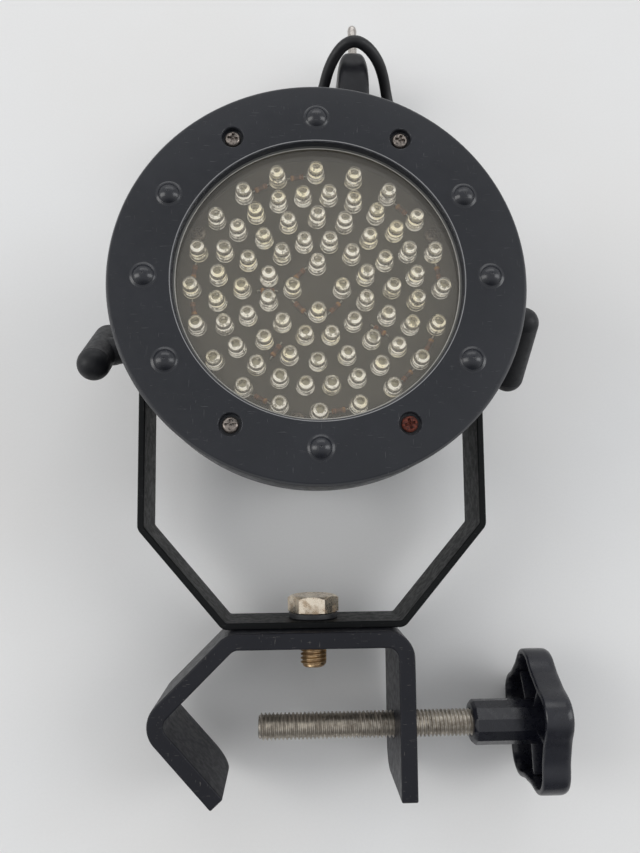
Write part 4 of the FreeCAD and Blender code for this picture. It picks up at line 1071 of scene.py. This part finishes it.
def build_plug():
    """The two-pole plug, its ribbed strain relief and its pins."""
    origin = shift((PLUG_X, 0, PLUG_LEVEL))
    wide, tall, neck = 14.6 / 2, 30.0 / 2, 17.0 / 2
    sections = [(0.02, 0.02, PLUG_REAR + 0.2), (wide * 0.72, neck * 0.72, PLUG_REAR + 0.2),
                (wide * 0.84, neck * 0.93, PLUG_REAR + 0.6), (wide * 0.90, neck, PLUG_REAR + 1.6)]
    for step in range(1, 9):
        share = step / 8
        ease = share * share * (3 - 2 * share)
        groove = 0.45 if step in (2, 4, 6) else 0.0
        sections.append((wide * (0.90 + 0.10 * share) - groove,
                         neck + (tall - neck) * ease - groove * 0.5, PLUG_REAR + 1.6 + 13.0 * share))
    nose = 16.0
    for step in range(1, 13):
        turn = pi / 2 * step / 12
        sections.append((wide * (1 - 0.50 * (1 - cos(turn)) ** 1.15),
                         tall - 5.0 * (1 - cos(turn)), PLUG_NOSE - nose + nose * sin(turn)))
    sections += [(wide * 0.2, tall * 0.5, PLUG_NOSE), (0.02, 0.02, PLUG_NOSE)]
    body = loft([soft_box(x, z, y) for x, z, y in sections])
    shell = piece("plug_shell", moved(body, origin), PLUG, "head", ["plug_body"],
                  sharp=30)

    profile = [(0.02, 0.0), (2.9, 0.0)]
    long = PLUG_REAR - RELIEF_END
    for number in range(7):
        start = 1.0 + number * 2.85
        reach = 3.2 + 1.4 * start / long
        profile += [(reach - 0.05, start - 0.5), (reach, start), (reach + 0.05, start + 1.2),
                    (reach - 0.75, start + 1.35), (reach - 0.72, start + 2.2)]
    profile += [(4.6, long - 0.3), (4.6, long + 0.3)]
    relief = moved(lathe(profile, 40), shift((PLUG_X, RELIEF_END, PLUG_LEVEL)) @ TO_Y)
    sleeve = piece("plug_sleeve", relief, PLUG, "head", ["plug_relief"], sharp=28)

    pin = lathe([(2.0, -0.5), (2.0, 12.1), (1.9, 12.9), (1.6, 13.7), (1.1, 14.25), (0.5, 14.47),
                 (0.0, 14.5)], 32)
    pins = [moved(pin, shift((PLUG_X, PLUG_NOSE, level)) @ TO_Y)
            for level in (PLUG_LEVEL - PIN_APART, PLUG_LEVEL + PIN_APART)]
    contacts = piece("plug_contacts", joined(*pins), NICKEL, "head", ["plug_pins"])
    return shell, sleeve, contacts


def build_tie():
    """The band that holds the coil, with its little knot outside."""
    middle, half_wide, half_tall = 12.85, 2.55, 12.45
    band = loft([soft_box(half_wide + out, half_tall + out, along, 48, 4.0, middle)
                 for along, out in ((-1.6, 0.05), (-1.3, 0.35), (1.3, 0.35), (1.6, 0.05))])
    knot = block((2.6, 4.2, 3.4), (3.6, 0, 14.0), 0.85)
    place = shift((*COIL_CENTRE, 0)) @ turned(145) @ \
        shift((COIL_REACH, 0, 0))
    return piece("coil_tie", moved(joined(band, knot), place), TIE, "head", sharp=30)


# ---- stage, light and camera

def build_stage():
    """A wide pale floor."""
    made = Paint("pale_floor")
    cloud = made.patches((5, 4, 0.55), 0.3, 0.7)
    base = made.mix(cloud, (0.79, 0.78, 0.765), (0.81, 0.81, 0.805))
    fine = made.patches((900, 3, 0.6), 0.3, 0.7)
    base = made.mix(made.times(fine, 0.06), base, (0.62, 0.62, 0.61))
    made.set(colour=base, rough=made.patches((60, 3), 0.3, 0.7, (0.42, 0.56)), spec=0.35,
             normal=made.bump(made.noise(1500, 2), 0.05, 0.00005))
    mesh = bpy.data.meshes.new("floor")
    half_metres = 4.0
    mesh.from_pydata([(x * half_metres, y * half_metres, 0) for x, y in CORNERS], [],
                     [(0, 1, 2, 3)])
    mesh.materials.append(made.material)
    floor = placed("floor", mesh)


def area_light(name, place, size, power, colour):
    """A soft light at a place in metres, aimed at the origin."""
    lamp = bpy.data.lights.new(name, "AREA")
    lamp.shape, lamp.size, lamp.size_y = "RECTANGLE", *size
    lamp.energy, lamp.color = power, colour
    made = placed(name, lamp)
    made.location = place
    aim = Vector((0, 0, 0)) - Vector(place)
    made.rotation_euler = aim.to_track_quat("-Z", "Y").to_euler()


def build_light():
    """A dim room that is darkest towards the clamp, and three soft windows."""
    world = bpy.data.worlds.new("soft_room")
    bpy.context.scene.world = world
    world.use_nodes = True
    sky = world.node_tree.nodes["Background"]
    sky.inputs["Color"].default_value = (0.96, 0.975, 1.0, 1.0)
    nodes, links = world.node_tree.nodes, world.node_tree.links
    facing = nodes.new("ShaderNodeSeparateXYZ")
    links.new(nodes.new("ShaderNodeTexCoord").outputs["Generated"], facing.inputs[0])
    fall = nodes.new("ShaderNodeMapRange")
    fall.interpolation_type = "SMOOTHSTEP"
    for name, value in (("From Min", -1.00), ("From Max", -0.30), ("To Min", 0.15),
                        ("To Max", 0.72)):
        fall.inputs[name].default_value = value
    links.new(facing.outputs["Y"], fall.inputs["Value"])
    links.new(fall.outputs["Result"], sky.inputs["Strength"])
    area_light("top_window", (0.0, 2.0, 1.30), (2.4, 0.9), 8, (1.0, 1.0, 1.0))
    area_light("left_window", (-1.7, 0.1, 1.25), (0.9, 1.6), 12, (1.0, 0.99, 0.97))
    area_light("right_window", (1.8, 0.2, 1.35), (0.9, 1.6), 11, (0.98, 0.99, 1.0))


def build_camera():
    """The photograph's viewing angle, from a place in millimetres."""
    lens = bpy.data.cameras.new("camera")
    lens.lens, lens.sensor_width, lens.sensor_fit = 31.65, 36.0, "AUTO"
    lens.clip_start = 0.01
    camera = placed("camera", lens)
    camera.location = Vector((-9.53, -84.31, 327.68)) * MM
    camera.rotation_euler = angles(10.534, -2.389, -0.785)
    bpy.context.scene.camera = camera


for build in (build_bezel, build_screws, build_window, build_lamps, build_board, build_housing,
              build_gland, build_pivots, build_yoke_and_clamp, build_bolt, build_clamp_screw,
              build_knob, build_cord, build_stage, build_light, build_camera):
    build()
bpy.context.scene.view_settings.view_transform = "Standard"

bpy.context.view_layer.update()
